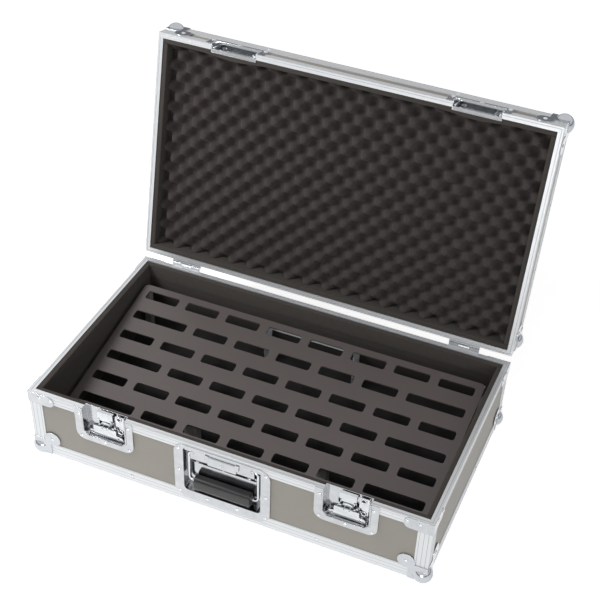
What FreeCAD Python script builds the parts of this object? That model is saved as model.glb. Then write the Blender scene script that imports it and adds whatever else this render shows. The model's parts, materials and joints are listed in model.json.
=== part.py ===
"""Guitar pedal case: an aluminium-edged plywood flight case with its lid standing open.

Millimetres. +X is to the right as seen from the front, +Y runs back to the hinges and +Z is up.
The origin is in the middle of the footprint, on the plane that the ball corners stand on.
The lid is drawn closed, a small gap above the base. Each of its pieces is then turned open about
the hinge pins.
"""
import FreeCAD
import Part
import math
import os
import re

import Sketcher
from FreeCAD import Placement, Rotation, Vector

SIZES = {
    # the outer box, over the edge profiles, and how far the lid stands open, in degrees
    "case_width": 740,
    "case_depth": 427,
    "base_height": 140.5,
    "lid_height": 60,
    "closing_gap": 0.5,
    "open_angle": 103,
    "hinge_back": 5.4,
    "hinge_rise": 7.8,
    # walls: profile sheet outside, plywood, and foam lining glued to it
    "profile_gauge": 1.3,
    "ply": 7,
    "inner_gauge": 1.1,
    "lining": 10,
    "lining_drop": 1.5,
    "floor_lining": 6,
    "edge_flange": 25,
    "rim_flange": 16.5,
    "rim_web": 1.5,
    # pressed ball corners
    "ball_radius": 17.5,
    "ball_inset": 9.2,
    "ball_wall": 1.2,
    "ball_wing": 33,
    "lobe_place": 37.5,
    "lobe_radius": 15.5,
    "foot_flat": 0.8,
    # rim corner braces
    "brace_gauge": 1.2,
    "brace_reach": 50,
    "brace_height": 23.5,
    "brace_near_rivet": 22,
    "brace_far_rivet": 44,
    "brace_rivet_drop": 8.5,
    # rivets
    "rivet_head": 4,
    "rivet_rise": 1.7,
    "rivet_shank": 2,
    "rivet_play": 0.1,
    "edge_rivet_level": 12.5,
    "front_rivet_inset": 195,
    "side_rivet_inset": 152.5,
    # recessed butterfly latches, with levels measured up from the bottom of the case
    "latch_inset": 147.2,
    "pressed_gauge": 1.2,
    "latch_plate_width": 112,
    "latch_plate_level": 68.3,
    "latch_corner": 18,
    "recess_width": 80,
    "recess_level": 82,
    "recess_chamfer": 8,
    "recess_depth": 13,
    "latch_rivet_side": 47,
    "latch_rivet_low": 75.5,
    "latch_rivet_high": 127,
    # latch works, with depths measured in from the face of the case
    "rotor_level": 107,
    "rotor_radius": 11,
    "rotor_front": 5.6,
    "rotor_back": 9.4,
    "shaft_radius": 4,
    "shaft_play": 0.05,
    "mount_gauge": 1.5,
    "mount_width": 52,
    "mount_top": 119,
    "mount_low": 85.5,
    "mount_hole": 2.2,
    "mount_hole_side": 20,
    "mount_hole_level": 89.5,
    "works_play": 0.3,
    "draw_gauge": 1.5,
    "draw_half_width": 12.5,
    "draw_low": 91,
    "draw_stroke": 8,
    "ear_gauge": 1.5,
    "ear_radius": 2.6,
    "hook_pin_level": 121.5,
    "hook_pin_depth": 7.2,
    "hook_pin_radius": 1.2,
    "hook_knuckle": 2.2,
    "hook_gauge": 1.5,
    "hook_front": 5,
    "hook_half_width": 15,
    "hook_shoulder": 126,
    "hook_top": 139.3,
    "hook_lip": 2,
    "hook_lip_depth": 11,
    "wing_gauge": 2.4,
    "wing_axis_depth": 2.4,
    "wing_half_width": 22,
    "wing_waist": 5,
    "wing_drop": 10.5,
    "wing_rise": 1.6,
    "wing_pin_radius": 1,
    "lug_half_gap": 4,
    "lug_gauge": 1.6,
    "lug_height": 2.6,
    # keepers in the lid, with levels measured up from the lid's rim
    "keeper_height": 30.5,
    "keeper_corner": 9,
    "keeper_recess_width": 84,
    "keeper_recess_height": 21,
    "keeper_bar": 2,
    "keeper_bar_drop": 0.3,
    "keeper_bar_front": 8,
    "keeper_rivet_level": 25,
    "keeper_rivet_side": 50,
    "bulge_half_width": 66,
    "bulge_depth": 4.5,
    # recessed handle
    "handle_plate_width": 177.8,
    "handle_plate_low": 11.6,
    "handle_plate_high": 135,
    "handle_corner": 20,
    "handle_recess_width": 143,
    "handle_recess_low": 28.6,
    "handle_recess_high": 129.9,
    "handle_recess_corner": 8,
    "handle_side_rivet": 80.6,
    "handle_low_rivet": 21.5,
    "handle_high_rivet": 123.5,
    "handle_bottom_rivet": 28,
    "handle_bottom_rivet_level": 20,
    "cover_half_width": 69.5,
    "cover_low": 92,
    "cover_notch": 59,
    "cover_notch_top": 122.5,
    "cover_depth": 1,
    "cover_gauge": 1.2,
    "cover_play": 0.3,
    "cover_corner": 6,
    "bail_half_width": 64,
    "bail_pivot_level": 117,
    "bail_bar_level": 50,
    "bail_depth": 6.8,
    "bail_radius": 3,
    "bail_bend": 8,
    "bail_end": 18,
    "bail_play": 0.05,
    "saddle_radius": 5.2,
    "saddle_inner": 20,
    "saddle_width": 12,
    "spring_outer": 4.2,
    "spring_bore": 3.2,
    "spring_length": 16,
    "grip_length": 105,
    "grip_height": 28,
    "grip_front": 5.5,
    "grip_back": 12.5,
    "grip_corner": 6,
    # slotted pedal board on its legs; the tilt is in degrees
    "board_tilt": 9.23,
    "board_level": 91.4,
    "board_end_gap": 8.39,
    "board_front_gap": 50.92,
    "board_back_gap": 31.32,
    "board_gauge": 3,
    "board_margin": 14,
    "board_corner": 9,
    "slot_web": 17.86,
    "slot_width": 20.2,
    "slot_corner": 4.5,
    "long_slot_inset": 0.7,
    "leg_width": 22,
    "leg_wall": 2,
    "left_leg_side": 115,
    "right_leg_side": 134,
    "corner_leg_width": 13,
    # bracket under the back of the board, with levels measured up from the bottom of the case
    "bracket_half_width": 91,
    "bracket_gap": 0.3,
    "bracket_depth": 33,
    "bracket_gauge": 1.5,
    "bracket_front_level": 99,
    "bracket_back_level": 80,
    "bracket_rail_level": 68.5,
    # hinges
    "hinge_inset": 88,
    "hinge_width": 57.5,
    "hinge_leaf": 1.5,
    "hinge_reach": 36,
    "hinge_knuckle": 4.4,
    "hinge_pin": 2,
    "hinge_play": 0.05,
    "hinge_middle": 9.85,
    "hinge_slack": 0.3,
    "hinge_near_rivet": 14,
    "hinge_far_rivet": 27,
    "hinge_rivet_side": 18,
    # egg-crate foam in the lid
    "foam_slab": 20,
    "foam_relief": 20,
    "foam_period": 38.9,
    "foam_base": 13,
    "foam_tip": 5.5,
    "foam_play": 0.3,
    "overrun": 2,
}

DERIVED = {
    "foot_rise": "ball_radius - ball_inset - foot_flat",
    "rim_z": "foot_rise + base_height",
    "lid_rim_z": "rim_z + closing_gap",
    "half_width": "case_width / 2",
    "half_depth": "case_depth / 2",
    "wall": "profile_gauge + ply",
    "rim_total": "wall + inner_gauge",
    "lined_wall": "wall + lining",
    "hinge_y": "half_depth + hinge_back",
    "hinge_z": "rim_z + hinge_rise",
    "open_cosine": "cos(open_angle * 1 deg)",
    "open_sine": "sin(open_angle * 1 deg)",
    "open_shift_y": "hinge_y - hinge_y * open_cosine - hinge_z * open_sine",
    "open_shift_z": "hinge_z + hinge_y * open_sine - hinge_z * open_cosine",
    "recess_back": "recess_depth + pressed_gauge",
    "floor_z": "foot_rise + wall + floor_lining",
    "tilt_cosine": "cos(board_tilt * 1 deg)",
    "tilt_sine": "sin(board_tilt * 1 deg)",
    "latch_place": "half_width - latch_inset",
    "hinge_place": "half_width - hinge_inset",
    "front_edge_rivet": "half_width - front_rivet_inset",
    "side_edge_rivet": "half_depth - side_rivet_inset",
    "board_half_width": "half_width - lined_wall - board_end_gap",
    "board_half_depth": "(half_depth - lined_wall - (board_front_gap + board_back_gap) / 2) / tilt_cosine",
    "board_middle": "(board_front_gap - board_back_gap) / 2",
    "slot_pitch": "(board_half_width - board_margin + slot_web / 2) / 4",
    "slot_length": "slot_pitch - slot_web",
    "row_pitch": "(board_half_depth - board_margin - slot_width / 2) / 2.5",
    "leg_along": "2 * row_pitch",
    "corner_leg_side": "board_half_width - corner_leg_width / 2",
    "corner_leg_along": "board_half_depth * tilt_cosine - corner_leg_width / 2",
    "draw_front": "recess_depth - mount_gauge - works_play - draw_gauge",
}

doc = FreeCAD.newDocument("PedalCase")
sheet = doc.addObject("Spreadsheet::Sheet", "Sizes")
CELLS = {**SIZES, **{alias: "=" + formula for alias, formula in DERIVED.items()}}
for row, (alias, content) in enumerate(CELLS.items(), start=1):
    sheet.set(f"A{row}", str(content))
    sheet.setAlias(f"A{row}", alias)
doc.recompute()

KNOWN = set(SIZES) | set(DERIVED)
NODES = []


def value(formula):
    """The number that a formula in named sizes comes to."""
    names = {name: float(sheet.get(name)) for name in KNOWN if re.search(rf"\b{name}\b", formula)}
    for name in sorted(names, key=len, reverse=True):
        formula = re.sub(rf"\b{name}\b", repr(names[name]), formula)
    return float(sheet.evalExpression(formula))


def bind(piece, prop, formula):
    """Bind a property to a formula in named sizes."""
    piece.setExpression(prop, re.sub(r"[a-z][a-z_]+", lambda word: named(word.group()), formula))


def named(word):
    return "Sizes." + word if word in KNOWN else word


def node(name, *pieces):
    """A finished sub-part of the base: its solids under its own name."""
    group = doc.addObject("Part::Compound", name)
    group.Label = name
    group.Links = list(pieces)
    NODES.append(group)
    return group


def lid_node(name, *pieces):
    """A finished sub-part of the lid: drawn closed, then turned open about the hinge pins."""
    group = node(name, *pieces)
    group.Placement = Placement(Vector(), Rotation(Vector(1, 0, 0), 1))
    bind(group, "Placement.Rotation.Angle", "-open_angle")
    bind(group, "Placement.Base.y", "open_shift_y")
    bind(group, "Placement.Base.z", "open_shift_z")
    return group


def block(name, *spans):
    """A box between two planes on each axis."""
    piece = doc.addObject("Part::Box", name)
    for prop, axis, (start, end) in zip(("Length", "Width", "Height"), "xyz", spans):
        bind(piece, prop, f"abs(({end}) - ({start}))")
        bind(piece, f"Placement.Base.{axis}", f"min({start}; {end})")
    return piece


TURNS = {"x": Rotation(Vector(0, 1, 0), 90), "y": Rotation(Vector(1, 0, 0), -90), "z": Rotation()}


def rod(name, axis, radius, start, end, **centre):
    """A cylinder along one axis from start to end, centred on the other two."""
    piece = doc.addObject("Part::Cylinder", name)
    piece.Placement = Placement(Vector(), TURNS[axis])
    bind(piece, "Radius", radius)
    bind(piece, "Height", f"({end}) - ({start})")
    for side, formula in {**centre, axis: start}.items():
        bind(piece, f"Placement.Base.{side}", formula)
    return piece


def cut(name, base, *tools):
    """What is left of a piece once others are taken from it."""
    piece = doc.addObject("Part::Cut", name)
    piece.Base = base
    piece.Tool = tools[0] if len(tools) == 1 else join(name + "_tools", *tools)
    return piece


def join(name, *pieces):
    """Several pieces made one."""
    piece = doc.addObject("Part::MultiFuse", name)
    piece.Shapes = list(pieces)
    piece.Refine = True
    return piece


def shared(name, base, tool):
    """What two pieces have in common."""
    piece = doc.addObject("Part::Common", name)
    piece.Base = base
    piece.Tool = tool
    return piece


def mirrored(name, source, normal, **base):
    """A mirror image across the plane with this normal."""
    piece = doc.addObject("Part::Mirroring", name)
    piece.Source = source
    piece.Normal = normal
    for side, formula in base.items():
        bind(piece, f"Base.{side}", formula)
    return piece


def four_corners(name, source):
    """A corner piece at the right front, and its images at the other three corners."""
    left = mirrored(name + "_left", source, (1, 0, 0))
    back = mirrored(name + "_back", source, (0, 1, 0))
    return [source, left, back, mirrored(name + "_left_back", back, (1, 0, 0))]


def ring(name, outer, inner, levels):
    """A rectangular ring between two insets from the outer faces of the case."""
    solid, hollow = [
        block(f"{name}_{tag}", (f"-half_width + {inset}", f"half_width - ({inset})"),
              (f"-half_depth + {inset}", f"half_depth - ({inset})"), levels)
        for tag, inset in (("outer", outer), ("inner", inner))]
    return cut(name, solid, hollow)


def rect(left, right, low, high):
    """The corners of an upright rectangle."""
    return [(left, low), (right, low), (right, high), (left, high)]


def body(name, **base):
    """A body with its own place."""
    piece = doc.addObject("PartDesign::Body", name)
    for side, formula in base.items():
        bind(piece, f"Placement.Base.{side}", formula)
    return piece


def sketch(owner, plane, level, outlines, circles):
    """A sketch at a level along a plane's normal, with every corner and circle held by its sizes."""
    drawing = owner.newObject("Sketcher::SketchObject", owner.Name + "_sketch")
    face = next(item for item in owner.Origin.OriginFeatures if item.Role == plane)
    drawing.AttachmentSupport = (face, [""])
    drawing.MapMode = "FlatFace"
    bind(drawing, "AttachmentOffset.Base.z", level)

    def hold(kind, item, point, formula):
        origin = () if kind == "Radius" else (-1, 1)
        place = (item,) if kind == "Radius" else (item, point)
        index = drawing.addConstraint(Sketcher.Constraint(kind, *origin, *place, value(formula)))
        bind(drawing, f"Constraints[{index}]", formula)

    for points in outlines:
        places = [Vector(value(x), value(y), 0) for x, y in points]
        first = drawing.GeometryCount
        count = len(points)
        for start, end in zip(places, places[1:] + places[:1]):
            drawing.addGeometry(Part.LineSegment(start, end))
        for step, (x, y) in enumerate(points):
            following = first + (step + 1) % count
            drawing.addConstraint(Sketcher.Constraint("Coincident", first + step, 2, following, 1))
            hold("DistanceX", first + step, 1, x)
            hold("DistanceY", first + step, 1, y)
    for x, y, radius in circles:
        item = drawing.addGeometry(Part.Circle(Vector(value(x), value(y), 0), Vector(0, 0, 1), value(radius)))
        hold("DistanceX", item, 3, x)
        hold("DistanceY", item, 3, y)
        hold("Radius", item, 0, radius)
    return drawing


def pad(owner, plane, low, high, *outlines, circles=()):
    """Material between two levels along a plane's normal."""
    drawing = sketch(owner, plane, low, outlines, circles)
    feature = owner.newObject("PartDesign::Pad", owner.Name + "_pad")
    feature.Profile = drawing
    bind(feature, "Length", f"({high}) - ({low})")
    return feature


def pocket(owner, plane, low, high, *outlines, circles=()):
    """Room cut between two levels, from the high one down."""
    drawing = sketch(owner, plane, high, outlines, circles)
    feature = owner.newObject("PartDesign::Pocket", owner.Name + "_pocket")
    feature.Profile = drawing
    bind(feature, "Length", f"({high}) - ({low})")
    return feature


def soften(owner, kind, size, chosen):
    """Fillet or chamfer the straight edges that the test chooses by middle and direction."""
    base = owner.Tip
    doc.recompute([base])
    names = []
    for index, edge in enumerate(base.Shape.Edges, start=1):
        if not isinstance(edge.Curve, Part.Line):
            continue
        if chosen(edge.CenterOfMass, edge.tangentAt(edge.FirstParameter)):
            names.append(f"Edge{index}")
    feature = owner.newObject("PartDesign::" + kind, owner.Name + "_" + kind.lower())
    feature.Base = (base, names)
    bind(feature, "Radius" if kind == "Fillet" else "Size", size)
    return feature


def main_axis(way):
    """The axis that a direction runs along."""
    return max("xyz", key=lambda axis: abs(getattr(way, axis)))


# Rivets. Each stands on a face of the case, over the thickness of the hardware that it holds.


class Face:
    """One outer face of a shell: a point on it from two places, and the direction into the case."""

    def __init__(self, inward, point):
        self.inward = Vector(*inward)
        self.point = point


HALF_X = value("half_width")
HALF_Y = value("half_depth")
FACES = {
    "front": Face((0, 1, 0), lambda across, level: Vector(across, -HALF_Y, level)),
    "back": Face((0, -1, 0), lambda across, level: Vector(across, HALF_Y, level)),
    "left": Face((1, 0, 0), lambda across, level: Vector(-HALF_X, across, level)),
    "right": Face((-1, 0, 0), lambda across, level: Vector(HALF_X, across, level)),
}


def rivet_solid(spot, inward, stand, reach):
    """A domed head on the hardware and a shank to the inner side of the wall."""
    head, rise, shank = value("rivet_head"), value("rivet_rise"), value("rivet_shank")
    top, seat, edge = Vector(0, 0, -stand - rise), Vector(0, 0, -stand), Vector(head, 0, -stand)
    lean = math.sqrt(1 / 2)
    bulge = Vector(head * lean, 0, -stand - rise * lean)
    corners = [edge, Vector(shank, 0, -stand), Vector(shank, 0, reach), Vector(0, 0, reach), top]
    lines = [Part.LineSegment(a, b).toShape() for a, b in zip(corners, corners[1:])]
    dome = Part.Arc(top, bulge, edge).toShape()
    profile = Part.Face(Part.Wire(Part.__sortEdges__([dome] + lines)))
    solid = profile.revolve(Vector(), Vector(0, 0, 1), 360)
    solid.Placement = Placement(spot, Rotation(Vector(0, 0, 1), inward))
    return solid


def rivets_for(tag, spots):
    """The rivets of one shell, and the bores that they pass through."""
    play, overrun = value("rivet_play"), value("overrun")
    solids, bores = [], []
    for spot, inward, stand, reach in spots:
        solids.append(rivet_solid(spot, inward, stand, reach))
        start = spot - inward * (stand + overrun)
        bores.append(Part.makeCylinder(value("rivet_shank") + play, stand + overrun + reach, start, inward))
    rivets = doc.addObject("Part::Feature", tag + "_rivet_set")
    rivets.Shape = Part.makeCompound(solids)
    bore_set = doc.addObject("Part::Feature", tag + "_bores")
    bore_set.Shape = Part.makeCompound(bores)
    return rivets, bore_set


def shell_spots(rim, away, height):
    """Rivets that the base and the lid have alike: ball corners and edge profiles."""

    def level(distance):
        return value(f"{rim} {away} ({distance})")

    plain, ball, lobe = value("wall"), value("ball_wall"), value("lobe_place")
    low = level(f"{height} - lobe_place")
    spots = []
    for name, face in FACES.items():
        half = HALF_X if name in ("front", "back") else HALF_Y
        edge_place = value("front_edge_rivet" if name in ("front", "back") else "side_edge_rivet")
        for side in (-1, 1):
            spots.append((face.point(side * (half - lobe), low), face.inward, ball, plain))
            place = face.point(side * edge_place, level(f"{height} - edge_rivet_level"))
            spots.append((place, face.inward, 0, plain))
    cap_inward = Vector(0, 0, 1 if away == "-" else -1)
    for x in (-HALF_X + lobe, HALF_X - lobe):
        for y in (-HALF_Y + lobe, HALF_Y - lobe):
            spots.append((Vector(x, y, level(height)), cap_inward, ball, plain))
    return spots


def base_spots():
    """All the rivets of the base."""
    spots = shell_spots("rim_z", "-", "base_height")
    front = FACES["front"]
    gauge, plain, through = value("pressed_gauge"), value("wall"), value("rim_total")

    def up(name):
        return value(f"foot_rise + {name}")

    for name, face in FACES.items():
        half = HALF_X if name in ("front", "back") else HALF_Y
        for side in (-1, 1):
            for along in ("brace_near_rivet", "brace_far_rivet"):
                place = face.point(side * (half - value(along)), value("rim_z - brace_rivet_drop"))
                spots.append((place, face.inward, value("brace_gauge"), through))
    latch_side = value("latch_rivet_side")
    for centre in (-value("latch_place"), value("latch_place")):
        for across, level, reach in (
                (-latch_side, up("latch_rivet_low"), plain), (0, up("latch_rivet_low"), plain),
                (latch_side, up("latch_rivet_low"), plain), (-latch_side, up("latch_rivet_high"), through),
                (latch_side, up("latch_rivet_high"), through)):
            spots.append((front.point(centre + across, level), front.inward, gauge, reach))
    side, low, high = value("handle_side_rivet"), up("handle_low_rivet"), up("handle_high_rivet")
    bottom, bottom_level = value("handle_bottom_rivet"), up("handle_bottom_rivet_level")
    for across, level in ((-side, low), (side, low), (-side, (low + high) / 2), (side, (low + high) / 2),
                          (-side, high), (side, high), (-bottom, bottom_level), (bottom, bottom_level)):
        inside_rim = level > value("rim_z - rim_flange")
        spots.append((front.point(across, level), front.inward, gauge, through if inside_rim else plain))
    return spots + hinge_spots(("rim_z", "-"))


def hinge_spots(shell_rim):
    """The rivets of the hinge leaves on one shell, placed from the hinge axis."""
    rim, away = shell_rim
    back = FACES["back"]
    spots = []
    for centre in (-value("hinge_place"), value("hinge_place")):
        for across in (-value("hinge_rivet_side"), value("hinge_rivet_side")):
            for distance in ("hinge_near_rivet", "hinge_far_rivet"):
                level = value(f"hinge_z {away} {distance}")
                inside_rim = abs(level - value(rim)) < value("rim_flange")
                reach = value("rim_total" if inside_rim else "wall")
                spots.append((back.point(centre + across, level), back.inward, value("hinge_leaf"), reach))
    return spots


def lid_spots():
    """All the rivets of the lid, in its closed place."""
    front = FACES["front"]
    spots = shell_spots("lid_rim_z", "+", "lid_height")
    for centre in (-value("latch_place"), value("latch_place")):
        for across in (-value("keeper_rivet_side"), 0, value("keeper_rivet_side")):
            place = front.point(centre + across, value("lid_rim_z + keeper_rivet_level"))
            spots.append((place, front.inward, value("pressed_gauge"), value("wall")))
    return spots + hinge_spots(("lid_rim_z", "+"))


base_rivet_set, base_bores = rivets_for("base", base_spots())
lid_rivet_set, lid_bores = rivets_for("lid", lid_spots())

# Mitre blocks: the four lengths of a mitred frame are what a ring shares with them.

MITRES = {}
for side, turn in (("front", 0), ("right", 90), ("back", 180), ("left", 270)):
    wedge = doc.addObject("Part::Wedge", "mitre_" + side)
    long_side = side in ("front", "back")
    half, deep = ("half_width", "half_depth") if long_side else ("half_depth", "half_width")
    tip = "half_width - half_depth" if long_side else "0"
    for prop, formula in {
            "Xmin": f"-{half}", "Xmax": half, "X2min": f"-({tip})", "X2max": tip,
            "Ymin": f"-{deep}", "Ymax": f"-{deep} + half_depth",
            "Zmin": "-overrun", "Zmax": "rim_z + lid_height + overrun",
            "Z2min": "-overrun", "Z2max": "rim_z + lid_height + overrun"}.items():
        bind(wedge, prop, formula)
    wedge.Placement = Placement(Vector(), Rotation(Vector(0, 0, 1), turn))
    MITRES[side] = wedge

# Rooms that the pressed dishes need in the walls, the rim and the lining

pans = {}
for side, sign in (("left", "-"), ("right", "")):
    middle = f"{sign}latch_place"
    pans["latch_" + side] = block(
        f"latch_room_{side}",
        (f"{middle} - recess_width / 2 - pressed_gauge", f"{middle} + recess_width / 2 + pressed_gauge"),
        ("-half_depth - overrun", "-half_depth + recess_back"),
        ("foot_rise + recess_level - pressed_gauge", "rim_z + overrun"))
    pans["keeper_" + side] = block(
        f"keeper_room_{side}",
        (f"{middle} - keeper_recess_width / 2 - pressed_gauge",
         f"{middle} + keeper_recess_width / 2 + pressed_gauge"),
        ("-half_depth - overrun", "-half_depth + recess_back"),
        ("lid_rim_z - overrun", "lid_rim_z + keeper_recess_height + pressed_gauge"))
handle_room = block(
    "handle_room", ("-handle_recess_width / 2 - pressed_gauge", "handle_recess_width / 2 + pressed_gauge"),
    ("-half_depth - overrun", "-half_depth + recess_back"),
    ("foot_rise + handle_recess_low - pressed_gauge", "foot_rise + handle_recess_high + pressed_gauge"))
base_rooms = [pans["latch_left"], pans["latch_right"], handle_room]
lid_rooms = [pans["keeper_left"], pans["keeper_right"]]


def shell(tag, cap_name, rim, away, height, rooms, bores, finish):
    """Panels, profiles, corners and braces of the base or the lid, worked out from its rim."""

    def level(distance):
        return f"{rim} {away} ({distance})"

    across = ("-half_width + profile_gauge", "half_width - profile_gauge")
    wall_levels = (level("rim_web"), level(f"{height} - profile_gauge"))
    cap = block(f"{tag}_cap", ("-half_width + wall", "half_width - wall"),
                ("-half_depth + wall", "half_depth - wall"),
                (level(f"{height} - wall"), level(f"{height} - profile_gauge")))
    finish(f"{tag}_{cap_name}_panel", cut(f"{tag}_cap_drilled", cap, bores))
    front = block(f"{tag}_front_ply", across, ("-half_depth + profile_gauge", "-half_depth + wall"),
                  wall_levels)
    finish(f"{tag}_front_panel", cut(f"{tag}_front_cut", front, *rooms, bores))
    back = block(f"{tag}_back_ply", across, ("half_depth - profile_gauge", "half_depth - wall"), wall_levels)
    finish(f"{tag}_back_panel", cut(f"{tag}_back_drilled", back, bores))
    for side, sign in (("left", "-"), ("right", "")):
        ply = block(f"{tag}_{side}_ply",
                    (f"{sign}(half_width - profile_gauge)", f"{sign}(half_width - wall)"),
                    ("-half_depth + wall", "half_depth - wall"), wall_levels)
        finish(f"{tag}_{side}_panel", cut(f"{tag}_{side}_drilled", ply, bores))

    edges = cut(f"{tag}_edge_angle", join(
        f"{tag}_edge_rings",
        ring(f"{tag}_edge_upright", "0", "profile_gauge", (level(height), level(f"{height} - edge_flange"))),
        ring(f"{tag}_edge_flat", "0", "edge_flange",
             (level(height), level(f"{height} - profile_gauge")))), bores)
    finish(f"{tag}_edge_profiles", *[shared(f"{tag}_edge_{s}", edges, MITRES[s]) for s in MITRES])

    post_levels = (level("rim_flange"), level(f"{height} - edge_flange"))
    post = join(f"{tag}_post_angle",
                block(f"{tag}_post_face", ("half_width - edge_flange", "half_width"),
                      ("-half_depth", "-half_depth + profile_gauge"), post_levels),
                block(f"{tag}_post_side", ("half_width - profile_gauge", "half_width"),
                      ("-half_depth", "-half_depth + edge_flange"), post_levels))
    finish(f"{tag}_corner_profiles",
           *[cut(p.Name + "_drilled", p, bores) for p in four_corners(f"{tag}_post", post)])

    rim_solid = cut(f"{tag}_rim_section", join(
        f"{tag}_rim_rings",
        ring(f"{tag}_rim_outside", "0", "profile_gauge", (level("0"), level("rim_flange"))),
        ring(f"{tag}_rim_top", "0", "rim_total", (level("0"), level("rim_web"))),
        ring(f"{tag}_rim_inside", "wall", "rim_total", (level("0"), level("rim_flange")))), *rooms, bores)
    for side in MITRES:
        finish(f"{tag}_rim_{side}", shared(f"{tag}_rim_length_{side}", rim_solid, MITRES[side]))

    case = block(f"{tag}_case_room", ("-half_width", "half_width"), ("-half_depth", "half_depth"),
                 (level("0"), level(height)))
    centre = {"x": "half_width - ball_inset", "y": "-half_depth + ball_inset",
              "z": level(f"{height} - ball_inset")}
    balls = []
    for part, radius in (("ball", "ball_radius"), ("ball_hollow", "ball_radius - ball_wall")):
        ball = doc.addObject("Part::Sphere", f"{tag}_{part}")
        bind(ball, "Radius", radius)
        for axis, formula in centre.items():
            bind(ball, f"Placement.Base.{axis}", formula)
        balls.append(ball)
    wing_x = ("half_width - ball_wing", "half_width + ball_wall")
    wing_y = ("-half_depth - ball_wall", "-half_depth + ball_wing")
    wing_z = (level(f"{height} + ball_wall"), level(f"{height} - ball_wing"))
    lobe_x, lobe_y = "half_width - lobe_place", "-half_depth + lobe_place"
    lobe_z = level(f"{height} - lobe_place")
    cap_start = f"min({level(height)}; {level(height + ' + ball_wall')})"
    cap_end = f"max({level(height)}; {level(height + ' + ball_wall')})"
    skin = join(
        f"{tag}_corner_skin", balls[0],
        block(f"{tag}_wing_front", wing_x, ("-half_depth", "-half_depth - ball_wall"), wing_z),
        block(f"{tag}_wing_side", ("half_width", "half_width + ball_wall"), wing_y, wing_z),
        block(f"{tag}_wing_cap", wing_x, wing_y, (level(height), level(f"{height} + ball_wall"))),
        rod(f"{tag}_lobe_front", "y", "lobe_radius", "-half_depth - ball_wall", "-half_depth",
            x=lobe_x, z=lobe_z),
        rod(f"{tag}_lobe_side", "x", "lobe_radius", "half_width", "half_width + ball_wall",
            y=lobe_y, z=lobe_z),
        rod(f"{tag}_lobe_cap", "z", "lobe_radius", cap_start, cap_end, x=lobe_x, y=lobe_y))
    below = block(f"{tag}_below", ("0", "case_width"), ("-case_depth", "0"),
                  (level(f"{height} + foot_rise"), level(f"{height} + foot_rise + overrun")))
    corner = cut(f"{tag}_corner", skin, balls[1], case, below)
    finish(f"{tag}_ball_corners",
           *[cut(p.Name + "_drilled", p, bores) for p in four_corners(f"{tag}_ball_corner", corner)])


def rim_braces():
    """Pressed plates round the rim's corners, each with rounded ends."""
    levels = ("rim_z - brace_height", "rim_z")
    middle = "rim_z - brace_height / 2"
    end_x = "half_width - brace_reach + brace_height / 2"
    end_y = "-half_depth + brace_reach - brace_height / 2"
    brace = join(
        "brace",
        block("brace_face", (end_x, "half_width + brace_gauge"),
              ("-half_depth - brace_gauge", "-half_depth"), levels),
        rod("brace_face_end", "y", "brace_height / 2", "-half_depth - brace_gauge", "-half_depth",
            x=end_x, z=middle),
        block("brace_side", ("half_width", "half_width + brace_gauge"),
              ("-half_depth - brace_gauge", end_y), levels),
        rod("brace_side_end", "x", "brace_height / 2", "half_width", "half_width + brace_gauge",
            y=end_y, z=middle))
    return [cut(piece.Name + "_drilled", piece, base_bores) for piece in four_corners("rim_brace", brace)]


shell("base", "bottom", "rim_z", "-", "base_height", base_rooms, base_bores, node)
shell("lid", "top", "lid_rim_z", "+", "lid_height", lid_rooms, lid_bores, lid_node)
node("base_rim_braces", *rim_braces())
node("base_rivets", base_rivet_set)
lid_node("lid_rivets", lid_rivet_set)

# Linings


def wall_lining(tag, rim, away, floor_level, rooms):
    """Four strips of foam on the walls, notched for the rim's inner flange and the dishes."""
    flange = ring(f"{tag}_flange_room", "wall", "rim_total", (rim, f"{rim} {away} rim_flange"))
    levels = (f"{rim} {away} lining_drop", floor_level)
    long_x = ("-half_width + wall", "half_width - wall")
    short_y = ("-half_depth + lined_wall", "half_depth - lined_wall")
    return [
        cut(f"{tag}_lining_front", block(f"{tag}_foam_front", long_x,
                                         ("-half_depth + wall", "-half_depth + lined_wall"), levels),
            flange, *rooms),
        cut(f"{tag}_lining_back", block(f"{tag}_foam_back", long_x,
                                        ("half_depth - wall", "half_depth - lined_wall"), levels), flange),
        cut(f"{tag}_lining_left", block(f"{tag}_foam_left",
                                        ("-half_width + wall", "-half_width + lined_wall"),
                                        short_y, levels), flange),
        cut(f"{tag}_lining_right", block(f"{tag}_foam_right",
                                         ("half_width - wall", "half_width - lined_wall"),
                                         short_y, levels), flange)]


node("base_wall_lining", *wall_lining("base", "rim_z", "-", "foot_rise + wall", base_rooms))
node("base_floor_lining", block("floor_foam", ("-half_width + lined_wall", "half_width - lined_wall"),
                                ("-half_depth + lined_wall", "half_depth - lined_wall"),
                                ("foot_rise + wall", "floor_z")))

lid_linings = wall_lining("lid", "lid_rim_z", "+", "lid_rim_z + lid_height - wall", lid_rooms)
bulges = [
    block(f"lining_bulge_{side}",
          (f"{sign}latch_place - bulge_half_width", f"{sign}latch_place + bulge_half_width"),
          ("-half_depth + lined_wall", "-half_depth + lined_wall + bulge_depth"),
          ("lid_rim_z + lining_drop", "lid_rim_z + lid_height - wall"))
    for side, sign in (("left", "-"), ("right", ""))]
lid_linings[0] = join("lid_lining_front_bulged", lid_linings[0], *bulges)
lid_node("lid_wall_lining", *lid_linings)

# Egg-crate foam: a slab with staggered bumps that point out of the lid

foam = doc.addObject("Part::Feature", "egg_crate")


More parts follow.
